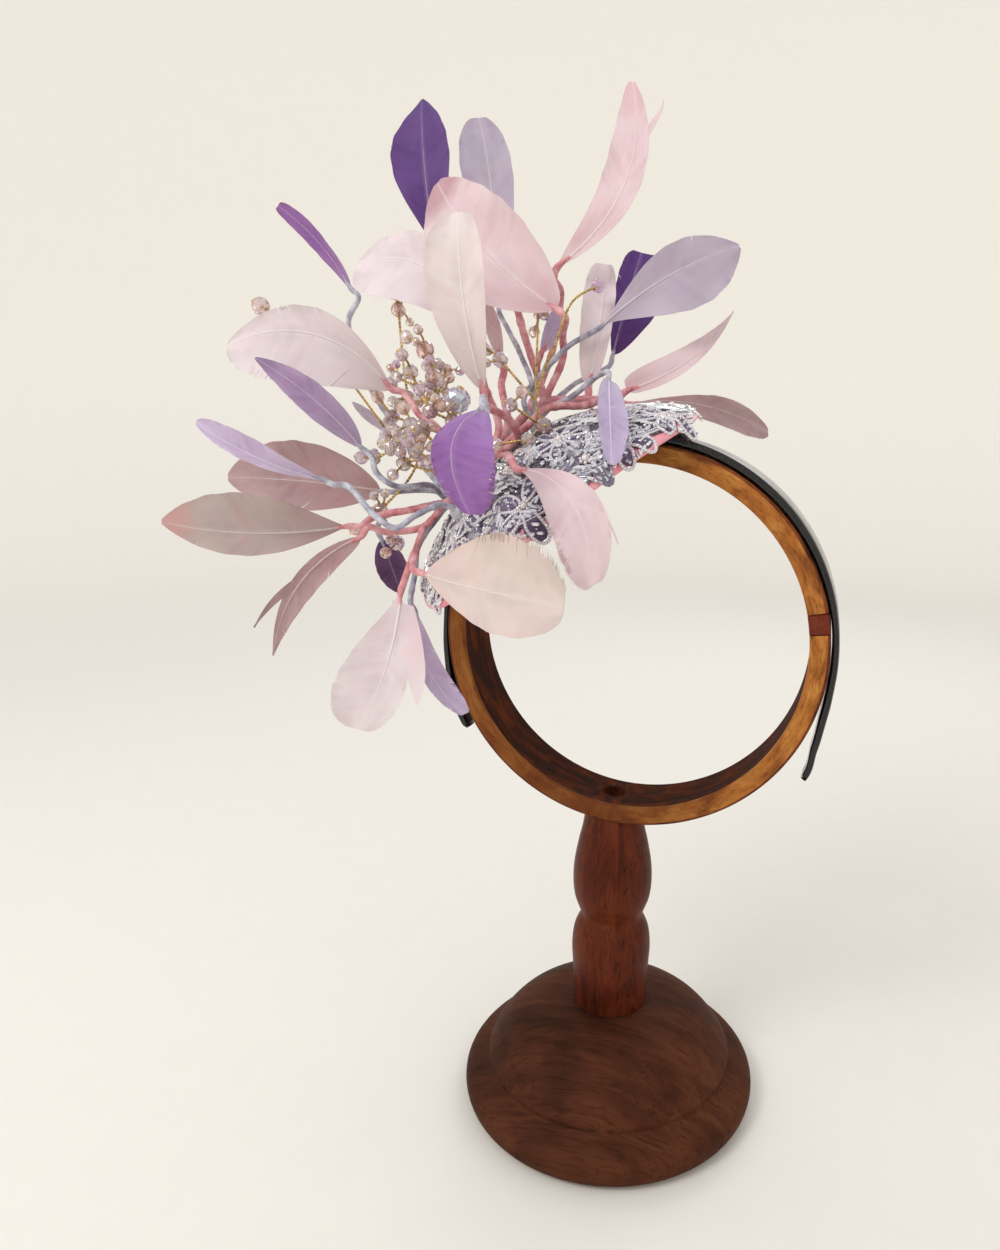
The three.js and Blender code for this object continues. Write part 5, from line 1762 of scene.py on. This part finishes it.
FEATHERS: tuple[Feather, ...] = (
    Feather("feather_01_dark_purple", Dye.DARK_PURPLE, (-94, 22, 152), (-112, 51, 220), -1, 6,
            (14, 11.5), (1.25, 1.05), (0, 25), 0.08, 0.3),
    Feather("feather_02_lilac_grey", Dye.LILAC_GREY, (-68, 27, 132), (-87, 54, 212), 2, 4,
            (12, 10), (0.97, 0.48), (0, 0), 0.05, 0.2, 0.86),
    Feather("feather_03_tall_pink", Dye.PINK, (-36, 7, 140), (-11, 18, 207), 12, 6,
            (10, 7), (0.8, 0.62), (20, 40), 0.08, 0.3, locks=(Lock((0.73, 3), (0.885, 15), 2.3),),
            tip_dye_and_shade=(0.86, 0.70, 0.72)),
    # Its dark dusty pink tip colour is a painted shadow over the tip.
    Feather("feather_04_large_pink", Dye.PINK, (-33, -1, 123), (-85, 6, 173), -5.5, 4,
            (19, 17.5), (0.71, 0.7), (-10, 10), 0.1, 0.3, tip_dye_and_shade=(0.70, 0.50, 0.54)),
    Feather("feather_05_ivory", Dye.IVORY, (-50, -34, 91), (-56, -40, 150), -2.5, 8,
            (12, 7.9), (0.8, 0.4), (0, 0), 0.05, 0.2),
    Feather("feather_06_pale_pink", Dye.PALE_PINK, (-61, -21, 119), (-105, -23, 137), 9, 4,
            (16, 10.5), (0.72, 0.48), (0, 0), 0.1, 0.3),
    Feather("feather_07_purple_curl", Dye.PURPLE, (-112, -15, 131), (-135, -26, 159), 2.5, 0,
            (4, 4.5), (0.45, 0.3), (55, 40), 0.1, 0.2),
    Feather("feather_08_pinkish_white", Dye.PALE_PINK, (-85, -35, 92), (-136, -59, 105), 11, 6,
            (18, 9), (0.9, 0.65), (0, 0), 0.3, 0.4),
    Feather("feather_09_mauve", Dye.MAUVE, (-89, -51, 71), (-115, -73, 100), 2.5, 4,
            (5.6, 6.4), (0.78, 0.86), (25, 25), 0.1, 0.3, tip_dye_and_shade=(0.56, 0.46, 0.60)),
    Feather("feather_10_lilac", Dye.LILAC, (-103, -55, 60), (-138, -75, 79), -2, 5,
            (3.2, 7), (1.0, 0.6), (30, 30), 0.12, 0.3),
    # Its dusty pink is painted shade: a pink feather that lies in shadow at the back.
    Feather("feather_11_shadow_pink", Dye.DUSTY_PINK, (-94, -28, 55), (-154, -40, 59), 1, 4,
            (11, 15), (0.8, 0.75), (0, 0), 0.1, 0.3),
    Feather("feather_12_grey_pink", Dye.GREY_PINK, (-98, -47, 43), (-153, -78, 45), -3, 6,
            (8, 14), (1.2, 0.9), (0, 0), 0.1, 0.3, tip_dye_and_shade=(0.77, 0.58, 0.56)),
    Feather("feather_13_forked", Dye.DUSTY_PINK, (-91, -50, 40), (-113, -75, -1), 7, 4,
            (6, 3), (0.7, 1.0), (10, 10), 0.12, 0.3, locks=(Lock((0.5, 1), (0.9, 8.5), 1.5),)),
    Feather("feather_14_plum", Dye.PLUM, (-98, -23, 36), (-90, -23, 15), 0, 0,
            (6, 6), (0.72, 0.68), (10, 10), 0.05, 0.2),
    Feather("feather_15_slit", Dye.PALE_PINK, (-75, -52, 21), (-81, -74, -25), -3, 5,
            (9, 15), (1.2, 0.45), (0, 0), 0.2, 0.4, locks=(Lock((0.08, -1), (0.74, -14.5), 4.0, 5.0),)),
    Feather("feather_16_lilac", Dye.LILAC, (-73, -45, 12), (-51, -51, -23), 4.3, 3,
            (5.4, 3.7), (0.65, 0.41), (20, 20), 0.25, 0.5),
    Feather("feather_17_cream", Dye.CREAM, (-61, -63, 30), (-1, -92, 27), 0, 6,
            (19, 12), (1.2, 0.45), (0, 0), 0.6, 0.2, 1.0, -1),
    Feather("feather_18_front_pink", Dye.PINK, (-33, -46, 65), (2, -71, 30), -8.3, 8,
            (8.7, 10.5), (1.13, 0.45), (0, 0), 0.4, 0.4, 1.0, 1, (Lock((0.55, -5.5), (0.9, -10), 0.8),)),
    Feather("feather_19_vivid_purple", Dye.PURPLE, (-36, -70, 84), (-33, -87, 52), 7.4, 6,
            (13, 6.1), (0.71, 0.48), (0, 0), 0.35, 0.5),
    Feather("feather_20_hanging_lilac", Dye.LILAC, (-9, -16, 97), (3, -57, 67), 0.3, 1,
            (6.3, 4.8), (0.45, 0.52), (20, 0), 0.1, 0.3, 0.82),
    Feather("feather_21_upright_pink", Dye.PALE_PINK, (-24, 12, 96), (-21, 23, 144), 0.7, 4,
            (8, 5), (0.45, 0.28), (10, 10), 0.08, 0.2),
    Feather("feather_22_dark_purple", Dye.DARK_PURPLE, (-21, 37, 110), (-12, 48, 153), -0.7, 4,
            (6.5, 16), (0.76, 0.27), (10, 10), 0.1, 0.3),
    Feather("feather_23_blunt_lilac", Dye.LILAC_GREY, (-19, 9, 118), (32, 21, 148), -3, 5,
            (10, 15.5), (1.5, 0.9), (0, 0), 0.15, 0.3),
    Feather("feather_24_narrow_pink", Dye.PINK, (-8, 7, 94), (29, 35, 127), 5, 4,
            (7, 3.6), (0.4, 1.2), (20, 20), 0.3, 0.6),
    Feather("feather_25_far_right_pink", Dye.DUSTY_PINK, (-11, 23, 90), (44, 56, 80), -5.4, 0,
            (6, 9), (1.6, 0.6), (25, 25), 0.15, 0.3),
    Feather("feather_26_small_grey", Dye.LILAC_GREY, (-103, -3, 77), (-118, -7, 89), 0, 0,
            (2.6, 3), (0.71, 0.73), (40, 40), 0.1, 0.2),
    Feather("feather_27_small_lilac", Dye.LILAC, (-43, 8, 108), (-38, 15, 127), 1, 0,
            (3.3, 3.5), (0.8, 0.6), (0, 0), 0.1, 0.2),
    Feather("feather_28_small_peach", Dye.PINK, (-57, 2, 105), (-64, 4, 128), 0, 0,
            (3.1, 3.1), (0.8, 0.6), (0, 0), 0.1, 0.2),
)


# Stems and bead sprays


@dataclass(frozen=True)
class Stem:
    """A taped stem: the number of its feather, what it passes, and where it leaves another."""

    to: int
    via: tuple[Point, ...]
    start: Point | None = None


@dataclass
class StemBundle:
    """Stems wound with tape, which leave one knob on the base.

    pitch is how far the tape climbs in a turn, and lap how far a turn stands over the last.
    """

    name: str
    slot: str
    seat: tuple[float, float]
    radius: float
    finish: TapeFinish
    stems: tuple[Stem, ...]
    pitch: float = 4.4
    lap: float = 0.045
    knob: float = 3.0
    knob_rise: float = 3.5
    step: float = 0.5
    sides: int = 14
    stack: MeshStack = field(init=False, repr=False)

    def stem_path(self, stem: Stem) -> Array:
        """The stem's way: from the knob or another stem, past its points, onto the quill.

        Args:
            stem: the stem.

        Returns:
            Points a step apart, of shape (n, 3).
        """
        feather = FEATHERS[stem.to - 1]
        root, tip = feather.ends()
        if stem.start is None:
            first = [Dome.place(*self.seat, 0.8), Dome.place(*self.seat, self.knob_rise)]
        else:
            first = [RING_CENTRE + stem.start]
        grip = feather.surface(np.array([5.0 / feather.long()]), np.zeros(1))[0]
        before = root - 4 * unit(tip - root)
        return smooth_path([*first, *(RING_CENTRE + via for via in stem.via), before, root, grip], self.step)

    def wind(self, path: Array, radius: Array) -> None:
        """Winds tape on a path: the radius grows along each turn by the lap, then drops back.

        A few lumps of exp(-(run / 1.1)^2) and a slight oval are added to it.

        Args:
            path: points a step apart.
            radius: the radius at each point.
        """
        rng = self.stack.rng
        run = self.step * np.arange(len(path))[:, None]
        turn = np.arange(self.sides)[None, :] / self.sides
        phase = run / self.pitch + turn + 0.3 * np.sin(run / 7 + rng.uniform(0, 6))
        saw = np.mod(phase, 1.0) ** 0.6
        spots = rng.uniform(0, max(run[-1, 0], 1.0), max(1, int(run[-1, 0] / 5)))
        lump = (0.16 * rng.uniform(0.3, 1.0, len(spots)) * np.exp(-((run - spots) / 1.1) ** 2)).sum(axis=1)
        lump = lump[:, None] * (0.7 + 0.3 * np.cos(2 * np.pi * turn + rng.uniform(0, 6)))
        oval = 0.05 * np.sin(run / 2.3 + 2 * np.pi * turn)
        reach = radius[:, None] * (1 - 0.5 * self.lap + self.lap * saw + lump + oval)
        self.stack.tube(path, reach, self.sides, pitch=self.pitch)

    def build(self, seed: int) -> None:
        """Winds the knob and each stem, which tapers over the last few millimetres.

        Args:
            seed: where its random draws start.
        """
        self.stack = MeshStack(self.name + "_wound", seed)
        rise = np.arange(0.4, self.knob_rise + self.knob, self.step)
        bulge = np.sqrt(np.clip(1 - ((rise - self.knob_rise) / (self.knob + 0.4)) ** 2, 0.02, 1))
        self.wind(Dome.place(*self.seat, rise), self.knob * bulge)
        for stem in self.stems:
            path = self.stem_path(stem)
            left = self.step * np.arange(len(path))[::-1]
            self.wind(path, self.radius * (0.42 + 0.58 * smooth_step(left, 0.0, 7.0)))
        self.stack.deliver(self.slot, self.name, [self.finish], None)


@dataclass(frozen=True)
class Bead:
    """A bead on wire: its centre, its radius, and where its wire comes from and passes."""

    at: Point
    radius: float
    start: Point | None = None
    via: tuple[Point, ...] = ()


@dataclass
class BeadSpray:
    """Cut beads on twisted gold wire, which leave one knob on the base.

    sprouts is how many small beads grow on short wires from the others. A bead of a radius past
    large_from is of the large kind.
    """

    name: str
    seat: tuple[float, float]
    crystal: CrystalFinish
    large: CrystalFinish
    gold: MetalFinish
    beads: tuple[Bead, ...]
    sprouts: int = 0
    large_from: float = 4.0
    strand: float = 0.28
    strand_out: float = 0.3
    twist: float = 2.8
    sprout_wire: float = 0.42
    knob_rise: float = 3.5
    knob_wire: float = 0.36
    knob_turns: int = 7
    knob_core: float = 1.9
    stack: MeshStack = field(init=False, repr=False)

    def add_wires(self) -> Array:
        """Twists two strands round each wire's way: way + out (side cos f + other sin f).

        Returns:
            The way's direction at each bead, of shape (n, 3).
        """
        heads = []
        for bead in self.beads:
            knob = Dome.place(*self.seat, self.knob_rise)
            start = knob if bead.start is None else RING_CENTRE + bead.start
            path = smooth_path([start, *(RING_CENTRE + via for via in bead.via), RING_CENTRE + bead.at], 0.4)
            ahead, side, other = path_frames(path)
            phase = 2 * np.pi * 0.4 * np.arange(len(path))[:, None] / self.twist
            for turn in (0.0, np.pi):
                away = side * np.cos(phase + turn) + other * np.sin(phase + turn)
                self.stack.tube(path + self.strand_out * away, self.strand, 6, 2)
            heads.append(ahead[-1])
        return np.array(heads)

    def add_sprouts(self, centres: Array, radii: Array) -> tuple[Array, Array, Array]:
        """Grows small beads on short wires out of the small beads of the cluster.

        Args:
            centres: the beads' centres, of shape (n, 3).
            radii: the beads' radii.

        Returns:
            The new beads' centres, radii and directions.
        """
        rng = self.stack.rng
        near = np.flatnonzero((centres[:, 0] > -92) & (radii < self.large_from))
        parent = rng.choice(near, self.sprouts)
        away = unit(rng.normal(0, 1, (self.sprouts, 3)) + Dome.up * 0.6 + FRONT * 0.5)
        small = rng.uniform(1.7, 2.7, self.sprouts)
        reach = radii[parent] + small + rng.uniform(0.3, 3.2, self.sprouts)
        added = centres[parent] + away * reach[:, None]
        for first, last in zip(centres[parent], added):
            bent = smooth_path([first, (first + last) / 2 + 0.4, last], 0.5)
            self.stack.tube(bent, self.sprout_wire, 6, 2)
        return added, small, away

    def add_knob(self) -> None:
        """Winds wire round a core on the base, in turns that narrow up and down."""
        knob = Dome.place(*self.seat, self.knob_rise)
        spin = np.linspace(0, 2 * np.pi, 40)
        for k in range(self.knob_turns):
            level = -1.8 + 0.62 * k
            reach = 1.5 + 0.9 * np.cos(level / 2.0)
            loop = (knob + Dome.length * (reach * np.cos(spin))[:, None]
                    + Dome.width * (reach * np.sin(spin))[:, None] + Dome.up * (level + 0.1 * spin)[:, None])
            self.stack.tube(loop, self.knob_wire, 6, 2)
        self.stack.tube(Dome.place(*self.seat, np.linspace(0.5, 5.6, 12)), self.knob_core, 10, 2)

    def build(self, seed: int) -> None:
        """Makes the wires, the cut beads with a gold cap at both ends, and the knob.

        Args:
            seed: where its random draws start.
        """
        self.stack = stack = MeshStack(self.name + "_set", seed)
        heads = self.add_wires()
        centres = RING_CENTRE + np.array([bead.at for bead in self.beads])
        radii = np.array([bead.radius for bead in self.beads])
        added, small, away = self.add_sprouts(centres, radii)
        centres, radii = np.vstack([centres, added]), np.concatenate([radii, small])
        heads = np.vstack([heads, away])
        side = unit(np.cross(heads, stack.rng.normal(0, 1, heads.shape)))
        axes = np.stack([side, np.cross(heads, side), heads], axis=1)
        slots = np.where(radii > self.large_from, 1, 0)
        cut = radii[:, None] * np.array([1.0, 1.0, 0.97])
        stack.copies(small_ball(8, 6), centres, axes, cut, slots, True)
        for sign in (-1, 1):
            caps = centres + sign * heads * radii[:, None] * 0.93
            stack.copies(small_ball(9, 4), caps, axes, radii[:, None] * np.array([0.26, 0.26, 0.13]), 2)
        self.add_knob()
        stack.deliver("beads_and_wire", self.name, [self.crystal, self.large, self.gold], None)


# Studio


def turned(right: Array, up: Array, back: Array, place: Sequence[float]) -> Matrix:
    """The matrix of an object at a place, whose X, Y and Z point the three ways."""
    return Matrix.Translation(place) @ Matrix(np.column_stack([right, up, back]).tolist()).to_4x4()


@dataclass
class Studio:
    """The camera at the photograph's angle, a pale floor with a curved backdrop, and soft lights.

    floor is how far the floor reaches, curve how wide and high it turns up, and walls how high
    the backdrop's rows above that are.
    """

    paper: PaperFinish
    eye: Point = (77.3, -329.8, 276.2)
    yaw: float = 0.2637
    pitch: float = 0.2037
    roll: float = 0.0169
    focal: float = 867.0
    image: tuple[int, int] = (1000, 1250)
    optical: tuple[float, float] = (590.0, 625.0)
    sensor: float = 36.0
    floor: float = 1600.0
    curve: float = 700.0
    walls: tuple[float, float] = (1100.0, 1650.0)
    spokes: int = 96

    def add_camera(self) -> None:
        """Turns the camera by yaw, pitch and roll, with the shift that the framing needs."""
        ahead = np.array([-np.sin(self.yaw) * np.cos(self.pitch), np.cos(self.yaw) * np.cos(self.pitch),
                          -np.sin(self.pitch)])
        level = np.array([np.cos(self.yaw), np.sin(self.yaw), 0])
        above = np.cross(level, ahead)
        right = level * np.cos(self.roll) + above * np.sin(self.roll)
        up = above * np.cos(self.roll) - level * np.sin(self.roll)
        lens = bpy.data.cameras.new("photo_camera")
        lens.sensor_width = self.sensor
        lens.lens = self.focal * self.sensor / max(self.image)
        lens.shift_x = (self.image[0] / 2 - self.optical[0]) / max(self.image)
        lens.shift_y = (self.optical[1] - self.image[1] / 2) / max(self.image)
        lens.clip_start = 0.01
        camera = bpy.data.objects.new("photo_camera", lens)
        camera.matrix_world = turned(right, up, -ahead, scaled(self.eye, MM))
        bpy.context.scene.collection.objects.link(camera)
        bpy.context.scene.camera = camera

    def add_light(self, name: str, place: Point, aim: Point, size: float, power: float) -> None:
        """Adds a square soft light.

        Args:
            name: its name.
            place: where it stands, in metres.
            aim: what it points at.
            size: the length of its side.
            power: its strength in watts.
        """
        light = bpy.data.lights.new(name, "AREA")
        light.size = size
        light.energy = power
        lamp = bpy.data.objects.new(name, light)
        back = unit(np.array(place) - np.array(aim))
        side = unit(np.cross([0.0, 0.0, 1.0], back))
        lamp.matrix_world = turned(side, np.cross(back, side), back, place)
        bpy.context.scene.collection.objects.link(lamp)

    def add_paper(self) -> None:
        """The floor, which turns up all round in a quarter circle: a bowl with a flat middle."""
        bend = np.linspace(0, 1, 24)[1:] * np.pi / 2
        out = np.concatenate([self.floor * np.linspace(0, 1, 8), self.floor + self.curve * np.sin(bend),
                              [self.floor + self.curve] * 2])
        rise = np.concatenate([np.zeros(8), self.curve * (1 - np.cos(bend)), self.walls])
        angle = steps_round(self.spokes)
        body = np.stack([out[:, None] * np.cos(angle), out[:, None] * np.sin(angle),
                         np.broadcast_to(rise[:, None], (len(out), self.spokes))], axis=-1)
        mesh = bpy.data.meshes.new("paper_floor")
        faces = grid_faces(len(out), self.spokes, True)[:, ::-1]
        mesh.from_pydata((body.reshape(-1, 3) * MM).tolist(), [], faces.tolist())
        mesh.polygons.foreach_set("use_smooth", np.ones(len(faces), bool))
        mesh.materials.append(dressed(self.paper))
        floor = bpy.data.objects.new("paper_floor", mesh)
        bpy.context.scene.collection.objects.link(floor)

    def build(self) -> None:
        """Sets the camera, floor, lights and the even light of the room."""
        self.add_camera()
        self.add_paper()
        self.add_light("key_light", (-0.45, -0.70, 0.95), (-0.03, 0.0, 0.22), 0.4, 4.2)
        self.add_light("rim_light", (0.1, 0.9, 0.8), (-0.03, 0.0, 0.3), 0.6, 1.5)
        scene = bpy.context.scene
        scene.view_settings.view_transform = "Standard"
        scene.world = bpy.data.worlds.new("studio_room")
        scene.world.use_nodes = True
        room = scene.world.node_tree.nodes["Background"]
        room.inputs["Color"].default_value = linear((0.95, 0.96, 0.985))
        room.inputs["Strength"].default_value = 0.80


# Assembly


# The ring's finishes darken their left side with painted shade, away from the light.
RING_FACE = WoodFinish("ring_face_wood", (0.80, 0.56, 0.28), (0.68, 0.42, 0.19), (0.37, 0.17, 0.07),
                       (14, 5, 1), "UV", 0.42, 0.06, blotch=7, left_shade=0.6, shine=0.08, darker_near=(-4, -13, 131))
# The inside is painted much darker than the faces: partly painted shade inside the ring, partly a darker
# varnish.
RING_INSIDE_SHADED = WoodFinish("ring_inner_shaded_wood", (0.42, 0.20, 0.08), (0.24, 0.105, 0.04), (0.10, 0.04, 0.02),
                         (10, 4, 1), "UV", 0.7, 0.0, blotch=6, left_shade=0.2, shine=0.04)
RING_OUTSIDE = WoodFinish("ring_outer_wood", (0.60, 0.36, 0.17), (0.44, 0.22, 0.11), (0.25, 0.11, 0.07),
                          (10, 4, 1), "UV", 0.45, 0.1, blotch=14, left_shade=0.6)
STEM_WOOD = WoodFinish("stem_wood", (0.43, 0.20, 0.11), (0.34, 0.14, 0.075), (0.18, 0.07, 0.04),
                       (150, 150, 14), rough=0.36, coat=0.06, crack=0.75, blotch=26)
FOOT_WOOD = WoodFinish("foot_wood", (0.38, 0.22, 0.14), (0.30, 0.16, 0.10), (0.17, 0.085, 0.05),
                       (12, 130, 60), rough=0.6, coat=0.0, crack=0.3, blotch=20)
KEY_WOOD = WoodFinish("key_wood", (0.47, 0.20, 0.12), (0.36, 0.13, 0.08), (0.20, 0.07, 0.05),
                      (120, 40, 120), rough=0.45, coat=0.2, blotch=30)

CRYSTAL = CrystalFinish("pink_crystal", ((0.96, 0.79, 0.77), (0.98, 0.93, 0.91), (0.88, 0.75, 0.87)),
                        0.72, 0.03)
AURORA = CrystalFinish("aurora_crystal", ((0.86, 0.91, 0.96), (0.88, 0.92, 0.97), (0.90, 0.90, 0.97)),
                       0.75, 0.02, film=380.0)
SILVER_GLASS = CrystalFinish("silver_glass", ((0.86, 0.86, 0.89), (0.98, 0.98, 0.98), (0.50, 0.48, 0.55)),
                             0.0, 0.12, 0.5)
PEARL = CrystalFinish("pearl", ((0.93, 0.90, 0.88), (0.90, 0.86, 0.89), (0.95, 0.93, 0.90)),
                      0.0, 0.2, film=300.0)
SPANGLE = CrystalFinish("spangle", ((0.72, 0.66, 0.82), (0.86, 0.85, 0.90), (0.62, 0.50, 0.74)),
                        0.1, 0.12, 0.5, 420.0)
GOLD = MetalFinish("gold_wire", (0.90, 0.77, 0.50), 0.25)
PINK_TAPE = TapeFinish("pink_tape", (0.84, 0.54, 0.56), (0.94, 0.73, 0.74), (0.66, 0.33, 0.36))
GREY_TAPE = TapeFinish("grey_tape", (0.66, 0.65, 0.71), (0.85, 0.86, 0.90), (0.46, 0.44, 0.51))

FOOT = TurnedPiece("foot_turning", "stand_foot", "foot_wood", FOOT_WOOD, (
    (0, 57), (2.5, 61), (6, 62.4), (10, 62), (13.5, 59), (16.6, 53.2), (17.6, 52.0), (19.4, 52.2),
    (25, 49), (32, 42.5), (38, 32), (41, 17)))
STEM = TurnedPiece("stem_turning", "stand_stem", "stem_wood", STEM_WOOD, (
    (41.3, 15.2), (50, 15.7), (60, 16.4), (68, 16.7), (75, 15.8), (79, 14.2), (81.5, 12.9), (84, 13.7),
    (90, 15.8), (97, 16.6), (105, 16.2), (114, 14.6), (123, 12.6), (136, 11.4)), saddle=75.3)

BUNDLES: tuple[StemBundle, ...] = (
    StemBundle("stems_pink_middle", "pink_tape", (-12, -14), 1.45, PINK_TAPE, (
        Stem(5, ((-43, -19, 75), (-44, -24, 82))),
        Stem(25, ((-48, -12, 75), (-40, -13, 81), (-34, -10, 87), (-23, -4, 88),
                                           (-17, 10, 91))),
        Stem(24, ((-51, -1, 79), (-42, 10, 90), (-24, 9, 91))),
        Stem(21, ((-30, 13, 91),), (-42, 10, 90)),
        Stem(4, ((-35, 13, 108), (-34, 8, 115)), (-42, 10, 90)),
        Stem(3, ((-49, 24, 96), (-44, 30, 116), (-37, 14, 133)), (-51, -1, 79)),
        Stem(1, ((-45, 11, 100), (-49, 14, 108), (-54, 17, 120), (-60, 22, 131),
                                        (-80, 25, 140)), (-42, 10, 90)),
        Stem(6, ((-52, -14, 79), (-57, -18, 97))),
        Stem(18, ((-47, -22, 69),)),
        Stem(27, (), (-45, 11, 100)),
        Stem(28, ((-52, -5, 81), (-56, -1, 96))))),
    StemBundle("stems_pink_left", "pink_tape", (-24, 0), 1.25, PINK_TAPE, (
        Stem(8, ((-59, -34, 66), (-67, -37, 79), (-74, -36, 83))),
        Stem(12, ((-65, -35, 52), (-78, -38, 49), (-91, -42, 46))),
        Stem(13, ((-74, -34, 43), (-85, -42, 41)), (-65, -35, 52)),
        Stem(15, ((-73, -41, 38),), (-74, -34, 43)),
        Stem(17, ((-67, -58, 31),), (-73, -41, 38)))),
    StemBundle("stems_grey_right", "grey_tape", (14, -20), 1.05, GREY_TAPE, (
        Stem(23, ((-47, 0, 90), (-39, 5, 103), (-31, 7, 111))),
        Stem(2, ((-45, 4, 96), (-56, 17, 112), (-66, 24, 126)), (-42, 0, 83)),
        Stem(20, ((-38, 0, 86), (-27, 0, 92), (-17, -2, 99))),
        Stem(22, ((-45, 21, 87), (-35, 28, 98))))),
    StemBundle("stems_grey_back", "grey_tape", (-30, -24), 1.05, GREY_TAPE, (
        Stem(7, ((-94, -9, 74), (-111, -11, 101), (-114, -14, 119))),
        Stem(9, ((-72, -21, 53), (-72, -33, 58), (-80, -45, 58), (-85, -49, 63))),
        Stem(11, ((-77, -18, 55), (-87, -24, 55))),
        Stem(14, ((-90, -20, 47), (-98, -22, 44))),
        Stem(16, ((-79, -29, 35), (-77, -36, 27))),
        Stem(26, ((-83, -9, 63), (-95, -6, 72))))),
    StemBundle("stems_grey_front", "grey_tape", (-34, 4), 1.05, GREY_TAPE, (
        Stem(10, ((-61, -48, 52), (-69, -52, 48), (-75, -55, 44), (-82, -56, 48),
                                  (-93, -55, 58))),
        Stem(19, ((-45, -51, 56), (-40, -60, 72), (-37, -64, 84))))),
)

SPRAYS: tuple[BeadSpray, ...] = (
    BeadSpray("bead_spray_left", (-22, 10), CRYSTAL, AURORA, GOLD, sprouts=74, beads=(
        Bead((-77, -9, 93), 2.8, None, ((-52, -33, 72),)), Bead((-84, -15, 94), 2.8, (-77, -9, 93)),
        Bead((-94, -15, 98), 2.6, (-84, -15, 94)), Bead((-91, -24, 83), 2.8, (-52, -33, 72)),
        Bead((-97, -24, 90), 2.6, (-91, -24, 83)), Bead((-96, -18, 77), 2.6, (-91, -24, 83)),
        Bead((-138, -35, 122), 3.5, (-96, -18, 77), ((-121, -24, 109),)),
        Bead((-71, -28, 89), 2.5, (-52, -33, 72)), Bead((-71, -30, 97), 3.3, (-71, -28, 89)),
        Bead((-71, -19, 100), 2.6, (-71, -28, 89)), Bead((-78, -22, 107), 3.6, (-71, -19, 100)),
        Bead((-84, -25, 90), 2.5, (-71, -28, 89)),
        Bead((-90, -19, 122), 3, (-84, -25, 90), ((-88, -20, 102),)),
        Bead((-93, -32, 48), 3.1, (-71, -28, 89), ((-80, -31, 62),)),
        Bead((-100, -39, 41), 2.4, (-93, -32, 48)), Bead((-86, -33, 36), 3.1, (-93, -32, 48)),
        Bead((-59, -41, 81), 2.8), Bead((-57, -41, 88), 4.8, (-59, -41, 81)),
        Bead((-65, -46, 84), 2.8, (-59, -41, 81)), Bead((-77, -36, 98), 2.8, (-65, -46, 84)),
        Bead((-68, -46, 77), 2.8), Bead((-74, -43, 79), 3.3, (-68, -46, 77)),
        Bead((-75, -47, 66), 2.8), Bead((-68, -52, 70), 2.6, (-75, -47, 66)),
        Bead((-80, -40, 73), 3.1, (-75, -47, 66)), Bead((-91, -38, 67), 2, (-80, -40, 73)))),
    BeadSpray("bead_spray_right", (10, 2), CRYSTAL, AURORA, GOLD, sprouts=7, beads=(
        Bead((-20, 8, 133), 2.8, None, ((-36, -18, 89), (-31, -10, 110), (-27, -2, 126))),
        Bead((-44, 8, 123), 2, (-36, -18, 89), ((-39, -8, 106),)),
        Bead((-51, -15, 104), 3.1, (-36, -18, 89)), Bead((-41, -31, 87), 2.7), Bead((-31, -23, 80), 3.1),
        Bead((-35, -29, 75), 2.9), Bead((-45, -35, 73), 2.5, (-35, -29, 75)))),
)


def main() -> None:
    """Builds the studio, the stand, the headband, the base and the spray."""
    logging.basicConfig(level=logging.INFO, format="%(name)s: %(message)s")
    Studio(PaperFinish("pale_paper", (0.96, 0.943, 0.905), (0.97, 0.953, 0.92), 0.13)).build()
    FOOT.build()
    STEM.build()
    WoodRing((RING_FACE, RING_INSIDE_SHADED, RING_OUTSIDE), KEY_WOOD).build()
    Headband(GlossFinish("black_plastic", (0.035, 0.032, 0.034), 0.12)).build()
    ThreadBinding(ThreadFinish("black_thread", (0.05, 0.045, 0.045), (0.17, 0.16, 0.16))).build()
    base = OvalBase(SatinFinish("pink_satin", (0.93, 0.53, 0.60), (0.98, 0.68, 0.73)),
                    SatinFinish("lining_cloth", (0.13, 0.10, 0.11), (0.20, 0.16, 0.17), 900)).build()
    LaceCover(
        NetFinish("lace_net", (0.46, 0.42, 0.50), (0.19, 0.14, 0.21), 620),
        StitchFinish("lilac_stitching", (0.36, 0.31, 0.41), (0.64, 0.61, 0.69)),
        StitchFinish("violet_stitching", (0.21, 0.13, 0.28), (0.42, 0.31, 0.50)),
        ThreadFinish("silver_cord", (0.72, 0.70, 0.74), (0.95, 0.93, 0.94), 0.4, 0.25),
        SILVER_GLASS, PEARL, SPANGLE).build(base)
    for first, group in ((100, FEATHERS), (200, BUNDLES), (300, SPRAYS)):
        for k, row in enumerate(group):
            row.build(first + k)


if __name__ == "__main__":
    main()
